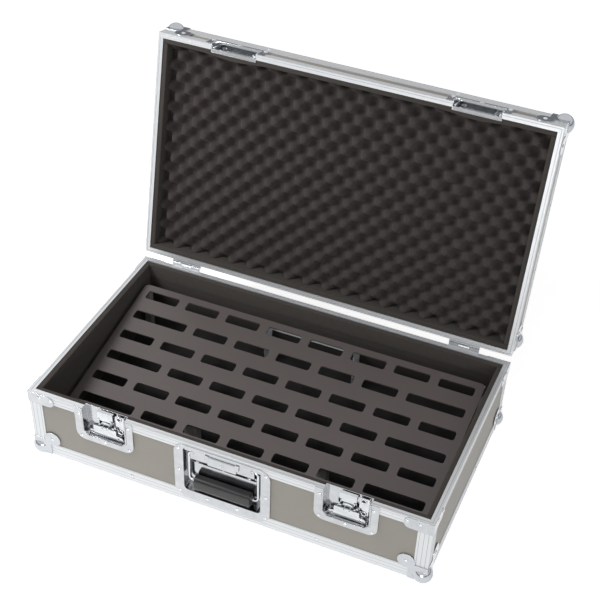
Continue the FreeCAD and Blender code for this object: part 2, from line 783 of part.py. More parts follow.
def egg_crate():
    """The slab and its bumps, with the bumps whose feet would leave the slab left out."""
    inset = value("lined_wall + foam_play")
    half_x, half_y = value("half_width") - inset, value("half_depth") - inset
    top = value("lid_rim_z + lid_height - wall")
    slab_depth, relief = value("foam_slab"), value("foam_relief")
    half_period, foot, tip = value("foam_period / 2"), value("foam_base"), value("foam_tip")
    slab = Part.makeBox(2 * half_x, 2 * half_y, slab_depth, Vector(-half_x, -half_y, top - slab_depth))
    columns, rows = int((half_x - foot) / half_period), int((half_y - foot) / half_period)
    front_limit = -half_y + value("bulge_depth + foam_play") + foot
    bumps = []
    for column in range(-columns, columns + 1):
        for row in range(-rows, rows + 1):
            x, y = column * half_period, row * half_period
            if (column + row) % 2 == 0 and y > front_limit:
                seat = Vector(x, y, top - slab_depth)
                bumps.append(Part.makeCone(foot, tip, relief, seat, Vector(0, 0, -1)))
    return slab.fuse(bumps)


foam.Shape = egg_crate()
foam_rooms = [
    block(f"foam_room_{side}",
          (f"{sign}latch_place - bulge_half_width - foam_play",
           f"{sign}latch_place + bulge_half_width + foam_play"),
          ("-half_depth", "-half_depth + lined_wall + bulge_depth + foam_play"),
          ("lid_rim_z", "lid_rim_z + lid_height"))
    for side, sign in (("left", "-"), ("right", ""))]
lid_node("lid_foam", cut("foam_fitted", foam, *foam_rooms))

# Recessed latches. Levels in a body run up from the bottom of the case and depths in from its face.


def latch(side, middle):
    """One recessed butterfly latch in the base, and its keeper in the lid."""
    place = {"x": middle, "y": "-half_depth", "z": "foot_rise"}
    dish = body(f"latch_dish_{side}_body", **place)
    pad(dish, "XZ_Plane", "0", "pressed_gauge",
        rect("-latch_plate_width / 2", "latch_plate_width / 2", "latch_plate_level", "base_height"))
    soften(dish, "Fillet", "latch_corner",
           lambda at, way: main_axis(way) == "y" and at.z < value("recess_level"))
    half = "recess_width / 2"
    pad(dish, "XZ_Plane", "-recess_back", "0",
        rect(f"-{half} - pressed_gauge", f"{half} + pressed_gauge",
             "recess_level - pressed_gauge", "base_height"))
    pocket(dish, "XZ_Plane", "-recess_depth", "pressed_gauge",
           [(f"-{half} + recess_chamfer", "recess_level"), (f"{half} - recess_chamfer", "recess_level"),
            (half, "recess_level + recess_chamfer"), (half, "base_height + overrun"),
            (f"-{half}", "base_height + overrun"), (f"-{half}", "recess_level + recess_chamfer")])
    node(f"latch_dish_{side}", cut(f"latch_dish_{side}_drilled", dish, base_bores))

    mount = body(f"latch_mount_{side}_body", **place)
    half = "mount_width / 2"
    pad(mount, "XZ_Plane", "-recess_depth", "-recess_depth + mount_gauge",
        [(f"-{half}", "mount_low"), (half, "mount_low"), (half, "draw_low + works_play"),
         ("draw_half_width + works_play + ear_gauge", "rotor_level"),
         ("draw_half_width + works_play + ear_gauge", "mount_top"),
         ("-draw_half_width - works_play - ear_gauge", "mount_top"),
         ("-draw_half_width - works_play - ear_gauge", "rotor_level"), (f"-{half}", "draw_low + works_play")])
    for sign in ("", "-"):
        inner = f"{sign}(draw_half_width + works_play)"
        outer = f"{sign}(draw_half_width + works_play + ear_gauge)"
        pad(mount, "XZ_Plane", "-recess_depth + mount_gauge", "-draw_front + works_play",
            rect(inner, outer, "rotor_level", "mount_top"))
    pocket(mount, "XZ_Plane", "-recess_depth", "-recess_depth + mount_gauge", circles=[
        ("mount_hole_side", "mount_hole_level", "mount_hole"),
        ("-mount_hole_side", "mount_hole_level", "mount_hole"),
        ("0", "rotor_level", "shaft_radius + shaft_play")])
    node(f"latch_mount_{side}", mount)

    draw = body(f"latch_draw_{side}_body", **place)
    pad(draw, "XZ_Plane", "-draw_front - draw_gauge", "-draw_front",
        rect("-draw_half_width", "draw_half_width", "draw_low", "hook_pin_level + ear_radius"))
    slot = "(shaft_radius + works_play)"
    pocket(draw, "XZ_Plane", "-draw_front - draw_gauge", "-draw_front",
           rect(f"-{slot}", slot, f"rotor_level - draw_stroke - {slot}", f"rotor_level + {slot}"))
    for low, high in (("-draw_half_width", "-draw_half_width + ear_gauge"),
                      ("draw_half_width - ear_gauge", "draw_half_width")):
        pad(draw, "YZ_Plane", low, high,
            rect("hook_pin_depth - ear_radius", "draw_front", "hook_pin_level - ear_radius",
                 "hook_pin_level + ear_radius"))
    pad(draw, "YZ_Plane", "-draw_half_width", "draw_half_width",
        circles=[("hook_pin_depth", "hook_pin_level", "hook_pin_radius")])
    node(f"latch_draw_plate_{side}", draw)

    hook = body(f"latch_hook_{side}_body", **place)
    foot_half = "(draw_half_width - ear_gauge - works_play)"
    pad(hook, "XZ_Plane", "-hook_front - hook_gauge", "-hook_front",
        [(f"-{foot_half}", "hook_pin_level"), (foot_half, "hook_pin_level"), (foot_half, "hook_shoulder"),
         ("hook_half_width", "hook_shoulder"), ("hook_half_width", "hook_top"),
         ("-hook_half_width", "hook_top"), ("-hook_half_width", "hook_shoulder"),
         (f"-{foot_half}", "hook_shoulder")])
    pad(hook, "XZ_Plane", "-hook_lip_depth", "-hook_front - hook_gauge",
        rect("-hook_half_width", "hook_half_width", "hook_top - hook_lip", "hook_top"))
    pad(hook, "YZ_Plane", f"-{foot_half}", foot_half,
        circles=[("hook_pin_depth", "hook_pin_level", "hook_knuckle")])
    pocket(hook, "YZ_Plane", f"-{foot_half}", foot_half,
           circles=[("hook_pin_depth", "hook_pin_level", "hook_pin_radius + shaft_play")])
    node(f"latch_hook_{side}", hook)

    rotor = body(f"latch_rotor_{side}_body", **place)
    pad(rotor, "XZ_Plane", "-rotor_back", "-rotor_front", circles=[("0", "rotor_level", "rotor_radius")])
    pad(rotor, "XZ_Plane", "-recess_depth + works_play", "-rotor_back",
        circles=[("0", "rotor_level", "shaft_radius")])
    for low, high in (("-lug_half_gap - lug_gauge", "-lug_half_gap"),
                      ("lug_half_gap", "lug_half_gap + lug_gauge")):
        pad(rotor, "YZ_Plane", low, high,
            rect("wing_axis_depth", "rotor_front",
                 "rotor_level - lug_height / 2", "rotor_level + lug_height / 2"))
        pad(rotor, "YZ_Plane", low, high, circles=[("wing_axis_depth", "rotor_level", "lug_height / 2")])
    pad(rotor, "YZ_Plane", "-lug_half_gap - lug_gauge", "lug_half_gap + lug_gauge",
        circles=[("wing_axis_depth", "rotor_level", "wing_pin_radius")])
    node(f"latch_rotor_{side}", rotor)

    wing = body(f"latch_wing_{side}_body", **place)
    neck = "(lug_half_gap - works_play)"
    reach = "(lug_half_gap + lug_gauge + works_play)"
    front, back = "-wing_axis_depth + wing_gauge / 2", "-wing_axis_depth - wing_gauge / 2"
    low, shelf = "rotor_level - wing_drop", "rotor_level - lug_height / 2 - works_play"
    high = "rotor_level + wing_rise"
    pad(wing, "XZ_Plane", back, front,
        [(f"-{neck}", high), (f"-{neck}", shelf), (f"-{reach}", shelf), (f"-{reach}", high),
         ("-wing_half_width", high), ("-wing_half_width", low), ("-wing_waist", f"{low} + wing_rise"),
         ("wing_waist", f"{low} + wing_rise"), ("wing_half_width", low), ("wing_half_width", high),
         (reach, high), (reach, shelf), (neck, shelf), (neck, high)])
    soften(wing, "Fillet", "wing_rise",
           lambda at, way: main_axis(way) == "y" and abs(at.x) > value("wing_half_width - wing_rise"))
    pocket(wing, "YZ_Plane", f"-{neck}", neck,
           circles=[("wing_axis_depth", "rotor_level", "wing_pin_radius + shaft_play")])
    node(f"latch_wing_{side}", wing)

    keeper = body(f"keeper_{side}_body", x=middle, y="-half_depth", z="lid_rim_z")
    pad(keeper, "XZ_Plane", "0", "pressed_gauge",
        rect("-latch_plate_width / 2", "latch_plate_width / 2", "0", "keeper_height"))
    soften(keeper, "Fillet", "keeper_corner",
           lambda at, way: main_axis(way) == "y" and at.z > value("keeper_recess_height"))
    half = "keeper_recess_width / 2"
    pad(keeper, "XZ_Plane", "-recess_back", "0",
        rect(f"-{half} - pressed_gauge", f"{half} + pressed_gauge",
             "0", "keeper_recess_height + pressed_gauge"))
    pocket(keeper, "XZ_Plane", "-recess_depth", "pressed_gauge",
           rect(f"-{half}", half, "-overrun", "keeper_recess_height"))
    pad(keeper, "XZ_Plane", "-recess_depth", "-keeper_bar_front",
        rect(f"-{half}", half, "keeper_bar_drop", "keeper_bar_drop + keeper_bar"))
    lid_node(f"keeper_dish_{side}", cut(f"keeper_{side}_drilled", keeper, lid_bores))


latch("left", "-latch_place")
latch("right", "latch_place")

# Recessed handle: a dish, a cover over the pivots, a bail that swings out and its rubber grip

handle_place = {"y": "-half_depth", "z": "foot_rise"}
dish = body("handle_dish_body", **handle_place)
pad(dish, "XZ_Plane", "0", "pressed_gauge",
    rect("-handle_plate_width / 2", "handle_plate_width / 2", "handle_plate_low", "handle_plate_high"))
soften(dish, "Fillet", "handle_corner", lambda at, way: main_axis(way) == "y")
half_dish = "handle_recess_width / 2"
pad(dish, "XZ_Plane", "-recess_back", "0",
    rect(f"-{half_dish} - pressed_gauge", f"{half_dish} + pressed_gauge", "handle_recess_low - pressed_gauge",
         "handle_recess_high + pressed_gauge"))
pocket(dish, "XZ_Plane", "-recess_depth", "pressed_gauge",
       rect(f"-{half_dish}", half_dish, "handle_recess_low", "handle_recess_high"))
soften(dish, "Fillet", "handle_recess_corner",
       lambda at, way: main_axis(way) == "y"
       and abs(abs(at.x) - value(half_dish)) < value("pressed_gauge / 2"))
node("handle_dish", cut("handle_dish_drilled", dish, base_bores))

cover = body("handle_cover_body", **handle_place)
cover_top = "handle_recess_high - cover_play"
pad(cover, "XZ_Plane", "-cover_depth - cover_gauge", "-cover_depth",
    [("-cover_notch", "cover_low"), ("cover_notch", "cover_low"), ("cover_notch", "cover_notch_top"),
     ("cover_half_width", "cover_notch_top"), ("cover_half_width", cover_top),
      ("-cover_half_width", cover_top), ("-cover_half_width", "cover_notch_top"),
      ("-cover_notch", "cover_notch_top")])
soften(cover, "Fillet", "cover_corner",
       lambda at, way: main_axis(way) == "y" and at.z > value("cover_notch_top + cover_gauge"))
for start, end in (("-saddle_inner - saddle_width", "-saddle_inner"),
                   ("saddle_inner", "saddle_inner + saddle_width")):
    pad(cover, "YZ_Plane", start, end, circles=[("bail_depth", "bail_pivot_level", "saddle_radius")])
    pad(cover, "YZ_Plane", start, end, rect(
        "bail_depth", "recess_depth", "bail_pivot_level - saddle_radius", "bail_pivot_level + saddle_radius"))
pocket(cover, "YZ_Plane", "-cover_notch", "cover_notch",
       circles=[("bail_depth", "bail_pivot_level", "bail_radius + bail_play")])
node("handle_cover_plate", cover)


def bent_path(points, radius):
    """Straight runs joined by tangent arcs of one radius."""
    edges, start = [], points[0]
    for before, corner, after in zip(points, points[1:], points[2:]):
        back, on = (before - corner).normalize(), (after - corner).normalize()
        half_turn = (math.pi - back.getAngle(on)) / 2
        trim = radius * math.tan(half_turn)
        bisector = (back + on).normalize()
        middle = corner + bisector * (radius / math.cos(half_turn) - radius)
        edges.append(Part.LineSegment(start, corner + back * trim).toShape())
        edges.append(Part.Arc(corner + back * trim, middle, corner + on * trim).toShape())
        start = corner + on * trim
    edges.append(Part.LineSegment(start, points[-1]).toShape())
    return Part.Wire(edges)


def bail_shape():
    """A round rod: two ends turned in under the cover, two sides and the bar through the grip."""
    side, turned_in = value("bail_half_width"), value("bail_end")
    depth = value("-half_depth + bail_depth")
    pivot, bar = value("foot_rise + bail_pivot_level"), value("foot_rise + bail_bar_level")
    stops = [(-turned_in, pivot), (-side, pivot), (-side, bar),
             (side, bar), (side, pivot), (turned_in, pivot)]
    path = bent_path([Vector(x, depth, z) for x, z in stops], value("bail_bend"))
    start = Vector(-turned_in, depth, pivot)
    section = Part.Wire(Part.makeCircle(value("bail_radius"), start, Vector(1, 0, 0)))
    return path.makePipeShell([section], True, False)


bail = doc.addObject("Part::Feature", "bail_rod")
bail.Shape = bail_shape()
node("handle_bail", bail)

grip = body("handle_grip_body", **handle_place)
pad(grip, "YZ_Plane", "-grip_length / 2", "grip_length / 2",
    rect("-grip_front", "grip_back", "bail_bar_level - grip_height / 2", "bail_bar_level + grip_height / 2"))
soften(grip, "Fillet", "grip_corner", lambda at, way: main_axis(way) == "x")
pocket(grip, "YZ_Plane", "-grip_length / 2", "grip_length / 2",
       circles=[("bail_depth", "bail_bar_level", "bail_radius + bail_play")])
node("handle_grip", grip)

springs = []
for side, start in (("left", "-saddle_inner - saddle_width - spring_length - works_play"),
                    ("right", "saddle_inner + saddle_width + works_play")):
    coil = rod(f"spring_{side}", "x", "spring_outer", start, f"{start} + spring_length",
               y="-half_depth + bail_depth", z="foot_rise + bail_pivot_level")
    bore = rod(f"spring_bore_{side}", "x", "spring_bore",
               f"{start} - overrun", f"{start} + spring_length + overrun",
               y="-half_depth + bail_depth", z="foot_rise + bail_pivot_level")
    springs.append(cut(f"torsion_spring_{side}", coil, bore))
node("handle_springs", *springs)

# Pedal board: a sheet with rows of slots, drawn flat and tilted up to the back

def rounded_slab(left, right, front, back, corner):
    """A flat slab of the board's thickness with rounded corners, its top at level 0."""
    gauge = value("board_gauge")
    slab = Part.makeBox(right - left, back - front, gauge, Vector(left, front, -gauge))
    return slab.makeFillet(corner, [edge for edge in slab.Edges if main_axis(edge.tangentAt(0)) == "z"])


def slot_spans():
    """Across and along spans of every slot: rows of eight short ones, and of five between two long ones."""
    pitch, half, inset = value("slot_pitch"), value("slot_length / 2"), value("long_slot_inset")
    for row_share, short_slots in ((2.5, 8), (1.5, 5), (0.5, 8), (-0.5, 5), (-1.5, 8), (-2.5, 5)):
        middle = row_share * value("row_pitch")
        for index in range(short_slots):
            centre = (index - (short_slots - 1) / 2) * pitch
            yield centre - half, centre + half, middle
        if short_slots == 5:
            inner, outer = 3 * pitch - half, 3.5 * pitch + half - inset
            yield -outer, -inner, middle
            yield inner, outer, middle


board_sheet = doc.addObject("Part::Feature", "board_sheet")
board_sheet.Shape = rounded_slab(-value("board_half_width"), value("board_half_width"),
                                 -value("board_half_depth"), value("board_half_depth"), value("board_corner"))
slots = doc.addObject("Part::Feature", "board_slots")
half_slot = value("slot_width / 2")
slots.Shape = Part.makeCompound([
    rounded_slab(left, right, middle - half_slot, middle + half_slot, value("slot_corner"))
    for left, right, middle in slot_spans()])
board = node("pedal_board", cut("slotted_sheet", board_sheet, slots))
board.Placement = Placement(Vector(), Rotation(Vector(1, 0, 0), 1))
bind(board, "Placement.Rotation.Angle", "board_tilt")
bind(board, "Placement.Base.y", "board_middle")
bind(board, "Placement.Base.z", "foot_rise + board_level")

above_board = doc.addObject("Part::Box", "above_board")
above_board.Placement = Placement(Vector(), Rotation(Vector(1, 0, 0), 1))
bind(above_board, "Length", "case_width")
bind(above_board, "Width", "case_depth")
bind(above_board, "Height", "base_height")
bind(above_board, "Placement.Rotation.Angle", "board_tilt")
bind(above_board, "Placement.Base.x", "-half_width")
bind(above_board, "Placement.Base.y", "board_middle - half_depth * tilt_cosine + board_gauge * tilt_sine")
bind(above_board, "Placement.Base.z",
     "foot_rise + board_level - half_depth * tilt_sine - board_gauge * tilt_cosine")

legs = []
for number, (x, y, width) in enumerate((
        ("-left_leg_side", "-leg_along", "leg_width"), ("right_leg_side", "-leg_along", "leg_width"),
        ("-corner_leg_side", "-corner_leg_along", "corner_leg_width"),
        ("corner_leg_side", "-corner_leg_along", "corner_leg_width"),
        ("-corner_leg_side", "corner_leg_along", "corner_leg_width"),
        ("corner_leg_side", "corner_leg_along", "corner_leg_width")), start=1):
    tube, hollow = [
        block(f"leg_{number}_{tag}", (f"{x} - ({half})", f"{x} + {half}"),
              (f"board_middle + {y} - ({half})", f"board_middle + {y} + {half}"), ("floor_z", "rim_z"))
        for tag, half in (("tube", f"{width} / 2"), ("hollow", f"({width} / 2 - leg_wall)"))]
    legs.append(cut(f"board_leg_{number}", tube, hollow, above_board))
node("board_legs", *legs)

# Bracket under the back of the board: two cheeks with sloping tops, joined by a rail at the back lining

bracket_back = "half_depth - lined_wall - bracket_gap"
cheeks = []
for side, start, end in (("left", "-bracket_half_width", "-bracket_half_width + bracket_gauge"),
                         ("right", "bracket_half_width - bracket_gauge", "bracket_half_width")):
    cheek = body(f"bracket_cheek_{side}", z="foot_rise")
    pad(cheek, "YZ_Plane", start, end, [
        (f"{bracket_back} - bracket_depth", "wall + floor_lining"), (bracket_back, "wall + floor_lining"),
        (bracket_back, "bracket_back_level"), (f"{bracket_back} - bracket_depth", "bracket_front_level")])
    cheeks.append(cheek)
rail = block("bracket_rail", ("-bracket_half_width", "bracket_half_width"),
             (f"{bracket_back} - bracket_gauge", bracket_back),
             ("foot_rise + bracket_rail_level", "foot_rise + bracket_back_level"))
node("under_board_bracket", join("bracket", *cheeks, rail))

# Hinges: two outer knuckles on the base leaf, one middle knuckle on the lid leaf, and a pin


def hinge_leaf(tag, side, middle, away, knuckle_spans, bores):
    """One leaf on the back of the case, with its knuckles round the pin."""
    leaf_y = ("half_depth", "half_depth + hinge_leaf")
    clear = f"hinge_z {away} (hinge_knuckle + hinge_slack + hinge_slack)"
    across = (f"{middle} - hinge_width / 2", f"{middle} + hinge_width / 2")
    pieces = [block(f"{tag}_leaf_{side}", across, leaf_y, (f"hinge_z {away} hinge_reach", clear))]
    for number, (start, end) in enumerate(knuckle_spans, start=1):
        first, last = f"{middle} + {start}", f"{middle} + {end}"
        pieces.append(block(f"{tag}_tab_{side}_{number}", (first, last), leaf_y, (clear, "hinge_z")))
        pieces.append(rod(f"{tag}_knuckle_{side}_{number}", "x", "hinge_knuckle", first, last,
                          y="hinge_y", z="hinge_z"))
    bore = rod(f"{tag}_pin_bore_{side}", "x", "hinge_pin + hinge_play", f"{middle} - hinge_width",
               f"{middle} + hinge_width", y="hinge_y", z="hinge_z")
    return cut(f"{tag}_hinge_leaf_{side}", join(f"{tag}_leaf_joined_{side}", *pieces), bore, bores)


outer_spans = [("-hinge_width / 2", "-hinge_middle - hinge_slack"),
               ("hinge_middle + hinge_slack", "hinge_width / 2")]
middle_span = [("-hinge_middle", "hinge_middle")]
base_leaves, lid_leaves, pins = [], [], []
for side, middle in (("left", "-hinge_place"), ("right", "hinge_place")):
    base_leaves.append(hinge_leaf("base", side, middle, "-", outer_spans, base_bores))
    lid_leaves.append(hinge_leaf("lid", side, middle, "+", middle_span, lid_bores))
    pins.append(rod(f"hinge_pin_{side}", "x", "hinge_pin",
                    f"{middle} - hinge_width / 2", f"{middle} + hinge_width / 2", y="hinge_y", z="hinge_z"))
node("hinge_base_leaves", *base_leaves)
node("hinge_pins", *pins)
lid_node("hinge_lid_leaves", *lid_leaves)

doc.recompute()

for item in doc.Objects:
    if "Invalid" in item.State or "Error" in item.State:
        raise RuntimeError(f"{item.Name} failed: {item.State}")
os.makedirs("parts", exist_ok=True)
for part in NODES:
    if part.Shape.isNull() or not part.Shape.isValid() or not part.Shape.Solids:
        raise RuntimeError(f"{part.Label} has no valid shape")
    part.Shape.exportStep(f"parts/{part.Label}.step")
    print(f"{part.Label}: {len(part.Shape.Solids)} solids, {part.Shape.Volume / 1000:.1f} cm3")
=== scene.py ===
"""Looks for a guitar pedal case: an aluminium-edged flight case with its lid standing open.

The solids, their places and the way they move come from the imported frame. This script gives every
solid its finish, puts formed foam, a moulded grip and pressed trim in place of the plainest ones,
and sets up a pale studio. +X is to the right of the front, +Y runs back to the hinges and +Z is up.
Lengths are in metres, apart from the places that a Datum takes, which are in millimetres.
"""

import json
import logging
import math
from dataclasses import dataclass, replace
from enum import Enum
from typing import Any, Callable, Iterable

import bmesh
import bpy
from mathutils import Matrix, Vector

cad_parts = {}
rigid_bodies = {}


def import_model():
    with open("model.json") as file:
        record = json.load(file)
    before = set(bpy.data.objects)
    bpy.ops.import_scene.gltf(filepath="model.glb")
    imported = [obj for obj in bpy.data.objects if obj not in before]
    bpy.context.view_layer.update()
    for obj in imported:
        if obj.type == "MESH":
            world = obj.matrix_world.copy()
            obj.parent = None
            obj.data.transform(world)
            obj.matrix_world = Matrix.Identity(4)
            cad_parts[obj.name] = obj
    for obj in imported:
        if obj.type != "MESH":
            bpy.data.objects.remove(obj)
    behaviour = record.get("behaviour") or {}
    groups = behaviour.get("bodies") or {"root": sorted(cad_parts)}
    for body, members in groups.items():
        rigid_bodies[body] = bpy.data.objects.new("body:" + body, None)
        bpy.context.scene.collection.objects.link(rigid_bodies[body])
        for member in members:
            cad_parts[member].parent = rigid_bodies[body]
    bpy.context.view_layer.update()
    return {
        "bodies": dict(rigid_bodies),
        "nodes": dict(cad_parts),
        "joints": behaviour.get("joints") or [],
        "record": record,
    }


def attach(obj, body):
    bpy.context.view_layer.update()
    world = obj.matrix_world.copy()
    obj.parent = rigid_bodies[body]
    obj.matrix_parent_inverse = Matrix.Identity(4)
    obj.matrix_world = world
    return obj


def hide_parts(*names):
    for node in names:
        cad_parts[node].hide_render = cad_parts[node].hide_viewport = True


LOG = logging.getLogger("pedal_case")

Edge = bmesh.types.BMEdge
Form = bmesh.types.BMesh
Vert = bmesh.types.BMVert
Socket = bpy.types.NodeSocket
Flat = tuple[float, float]
Spot = tuple[float, float, float]
Box = tuple[Spot, Spot]

MM = 0.001
WELD = 1e-6
SMOOTH_BELOW = math.radians(38)
SHARP_OVER = 0.3
SIDES = {"left": -1, "right": 1}
FORWARD = Vector((0, -1, 0))
BULGE_DEPTH = 4.5 * MM
BULGE_REACH = 72 * MM


class Shell(Enum):
    """The two halves of the case. The lid is shaped shut and then turned open."""

    BASE = "base"
    LID = "lid"


@dataclass(frozen=True)
class CaseSizes:
    """The main sizes of the case, as its solids have them.

    Attributes:
        half_width: from the middle to the outer face of an end.
        half_depth: from the middle to the outer face of the front.
        bottom: height of the bottom of the case over the floor.
        rim: height of the base's rim.
        lid_rim: height of the lid's rim while it is shut.
        lid_height: from the lid's rim to its top.
        wall: thickness of a wall without its foam.
        lined: thickness of a wall with its foam.
        latch_place: from the middle of the case to the middle of a latch.
        hinge: a point on the hinge pins' axis.
        open_turn: how far the lid stands open, in degrees.
    """

    half_width: float = 370 * MM
    half_depth: float = 213.5 * MM
    bottom: float = 7.5 * MM
    rim: float = 148 * MM
    lid_rim: float = 148.5 * MM
    lid_height: float = 60 * MM
    wall: float = 8.3 * MM
    lined: float = 18.3 * MM
    latch_place: float = 222.8 * MM
    hinge: Spot = (0.0, 218.9 * MM, 155.8 * MM)
    open_turn: float = 103.0

    def lid_open(self) -> Matrix:
        """Work out how the lid is opened.

        Returns:
            The turn that takes a piece of the shut lid to its open place.
        """
        pivot = Matrix.Translation(self.hinge)
        turn = Matrix.Rotation(math.radians(-self.open_turn), 4, "X")
        return pivot @ turn @ pivot.inverted()


CASE = CaseSizes()


def linear(colour: str) -> tuple[float, float, float, float]:
    """Turn an sRGB hex colour into the linear values that a shader takes.

    Args:
        colour: six hex digits after a hash.

    Returns:
        Red, green and blue, and a full opacity.
    """
    parts = [int(colour[i:i + 2], 16) / 255 for i in (1, 3, 5)]
    red, green, blue = [p / 12.92 if p <= 0.04045 else ((p + 0.055) / 1.055) ** 2.4 for p in parts]
    return red, green, blue, 1.0


# Finishes


class Graph:
    """The node tree of one material or world, built a node at a time."""

    def __init__(self, owner: bpy.types.Material | bpy.types.World) -> None:
        """Start with an empty tree.

        Args:
            owner: the material or world that the tree belongs to.
        """
        owner.use_nodes = True
        self.owner = owner
        self.tree = owner.node_tree
        self.tree.nodes.clear()

    def add(self, kind: str, inputs: dict[Any, Any] | None = None, **settings: Any) -> bpy.types.Node:
        """Add a node.

        Args:
            kind: the node's type name.
            inputs: values, or other nodes' output sockets, by socket name or number. None is passed over.
            settings: the node's own properties.

        Returns:
            The new node.
        """
        node = self.tree.nodes.new(kind)
        for name, setting in settings.items():
            setattr(node, name, setting)
        for key, source in (inputs or {}).items():
            if isinstance(source, Socket):
                self.tree.links.new(source, node.inputs[key])
            elif source is not None:
                node.inputs[key].default_value = source
        return node

    def place(self) -> Socket:
        """The place of a point in its object's own axes."""
        return self.add("ShaderNodeTexCoord").outputs["Object"]

    def noise(self, place: Socket, patch: float, detail: float = 2.0) -> Socket:
        """Soft noise, from patches about as wide as given and so many finer layers."""
        inputs = {"Vector": place, "Scale": 1 / patch, "Detail": detail}
        return self.add("ShaderNodeTexNoise", inputs).outputs["Fac"]

    def arithmetic(self, operation: str, *terms: float | Socket) -> Socket:
        """The result of one operation on numbers."""
        return self.add("ShaderNodeMath", dict(enumerate(terms)), operation=operation).outputs[0]

    def tint(self, share: Socket, low: str, high: str) -> Socket:
        """A colour that runs from one hex colour to another with a share from 0 to 1."""
        inputs = {0: share, 6: linear(low), 7: linear(high)}
        return self.add("ShaderNodeMix", inputs, data_type="RGBA").outputs[2]

    def spread(self, share: Socket, low: float, high: float, span: Flat = (0.0, 1.0)) -> Socket:
        """A number that runs from low to high while the share runs over its span."""
        inputs = {"Value": share, "From Min": span[0], "From Max": span[1], "To Min": low, "To Max": high}
        return self.add("ShaderNodeMapRange", inputs).outputs[0]

    def bump(self, height: Socket, relief: float, strength: float, under: Socket | None = None) -> Socket:
        """The normal of a relief so deep, laid over the normal of another if one is given."""
        inputs = {"Strength": strength, "Distance": relief, "Height": height, "Normal": under}
        return self.add("ShaderNodeBump", inputs).outputs["Normal"]

    def soften(self, normal: Socket, radius: float) -> Socket:
        """A normal with the piece's edges rounded to a radius."""
        inputs = {"Radius": radius, "Normal": normal}
        return self.add("ShaderNodeBevel", inputs, samples=4).outputs["Normal"]

    def glow(self, kind: str, colour: Any, strength: float) -> Socket:
        """A shader that gives off light, of the node type that the tree's owner takes."""
        return self.add(kind, {"Color": colour, "Strength": strength}).outputs[0]

    def choose(self, share: Socket, first: Socket, second: Socket) -> Socket:
        """A shader that is the first at a share of 0 and the second at 1."""
        return self.add("ShaderNodeMixShader", {0: share, 1: first, 2: second}).outputs[0]

    def close(self, colour: Socket, roughness: float | Socket, normal: Socket,
              others: dict[str, float] | None = None) -> bpy.types.Material:
        """End the tree in a principled shader.

        Args:
            colour: its base colour.
            roughness: its roughness.
            normal: its normal.
            others: values for its other sockets, by name.

        Returns:
            The finished material.
        """
        inputs = {"Base Color": colour, "Roughness": roughness, "Normal": normal}
        shader = self.add("ShaderNodeBsdfPrincipled", inputs | (others or {}))
        self.add("ShaderNodeOutputMaterial", {"Surface": shader.outputs["BSDF"]})
        return self.owner


@dataclass(frozen=True)
class Laminate:
    """High-pressure laminate on plywood: a fine pressed pebble breaks the light into a satin."""

    name: str = "high_pressure_laminate"
    colour: str = "#9c978f"
    worn: str = "#928d86"
    patch: float = 60 * MM
    pebble: float = 1.6 * MM
    relief: float = 0.15 * MM
    roughness: Flat = (0.42, 0.54)

    def make(self) -> bpy.types.Material:
        """Build the material.

        Returns:
            The material.
        """
        graph = Graph(bpy.data.materials.new(self.name))
        place = graph.place()
        patches = graph.noise(place, self.patch, detail=3.0)
        pebble = graph.noise(place, self.pebble)
        return graph.close(colour=graph.tint(patches, self.worn, self.colour),
                           roughness=graph.spread(patches, *self.roughness),
                           normal=graph.bump(pebble, self.relief, strength=0.5))


class Lengths(Enum):
    """Which way the extruded lengths of a node run."""

    FRAME = "mitred round the case"
    POST = "upright at the corners"


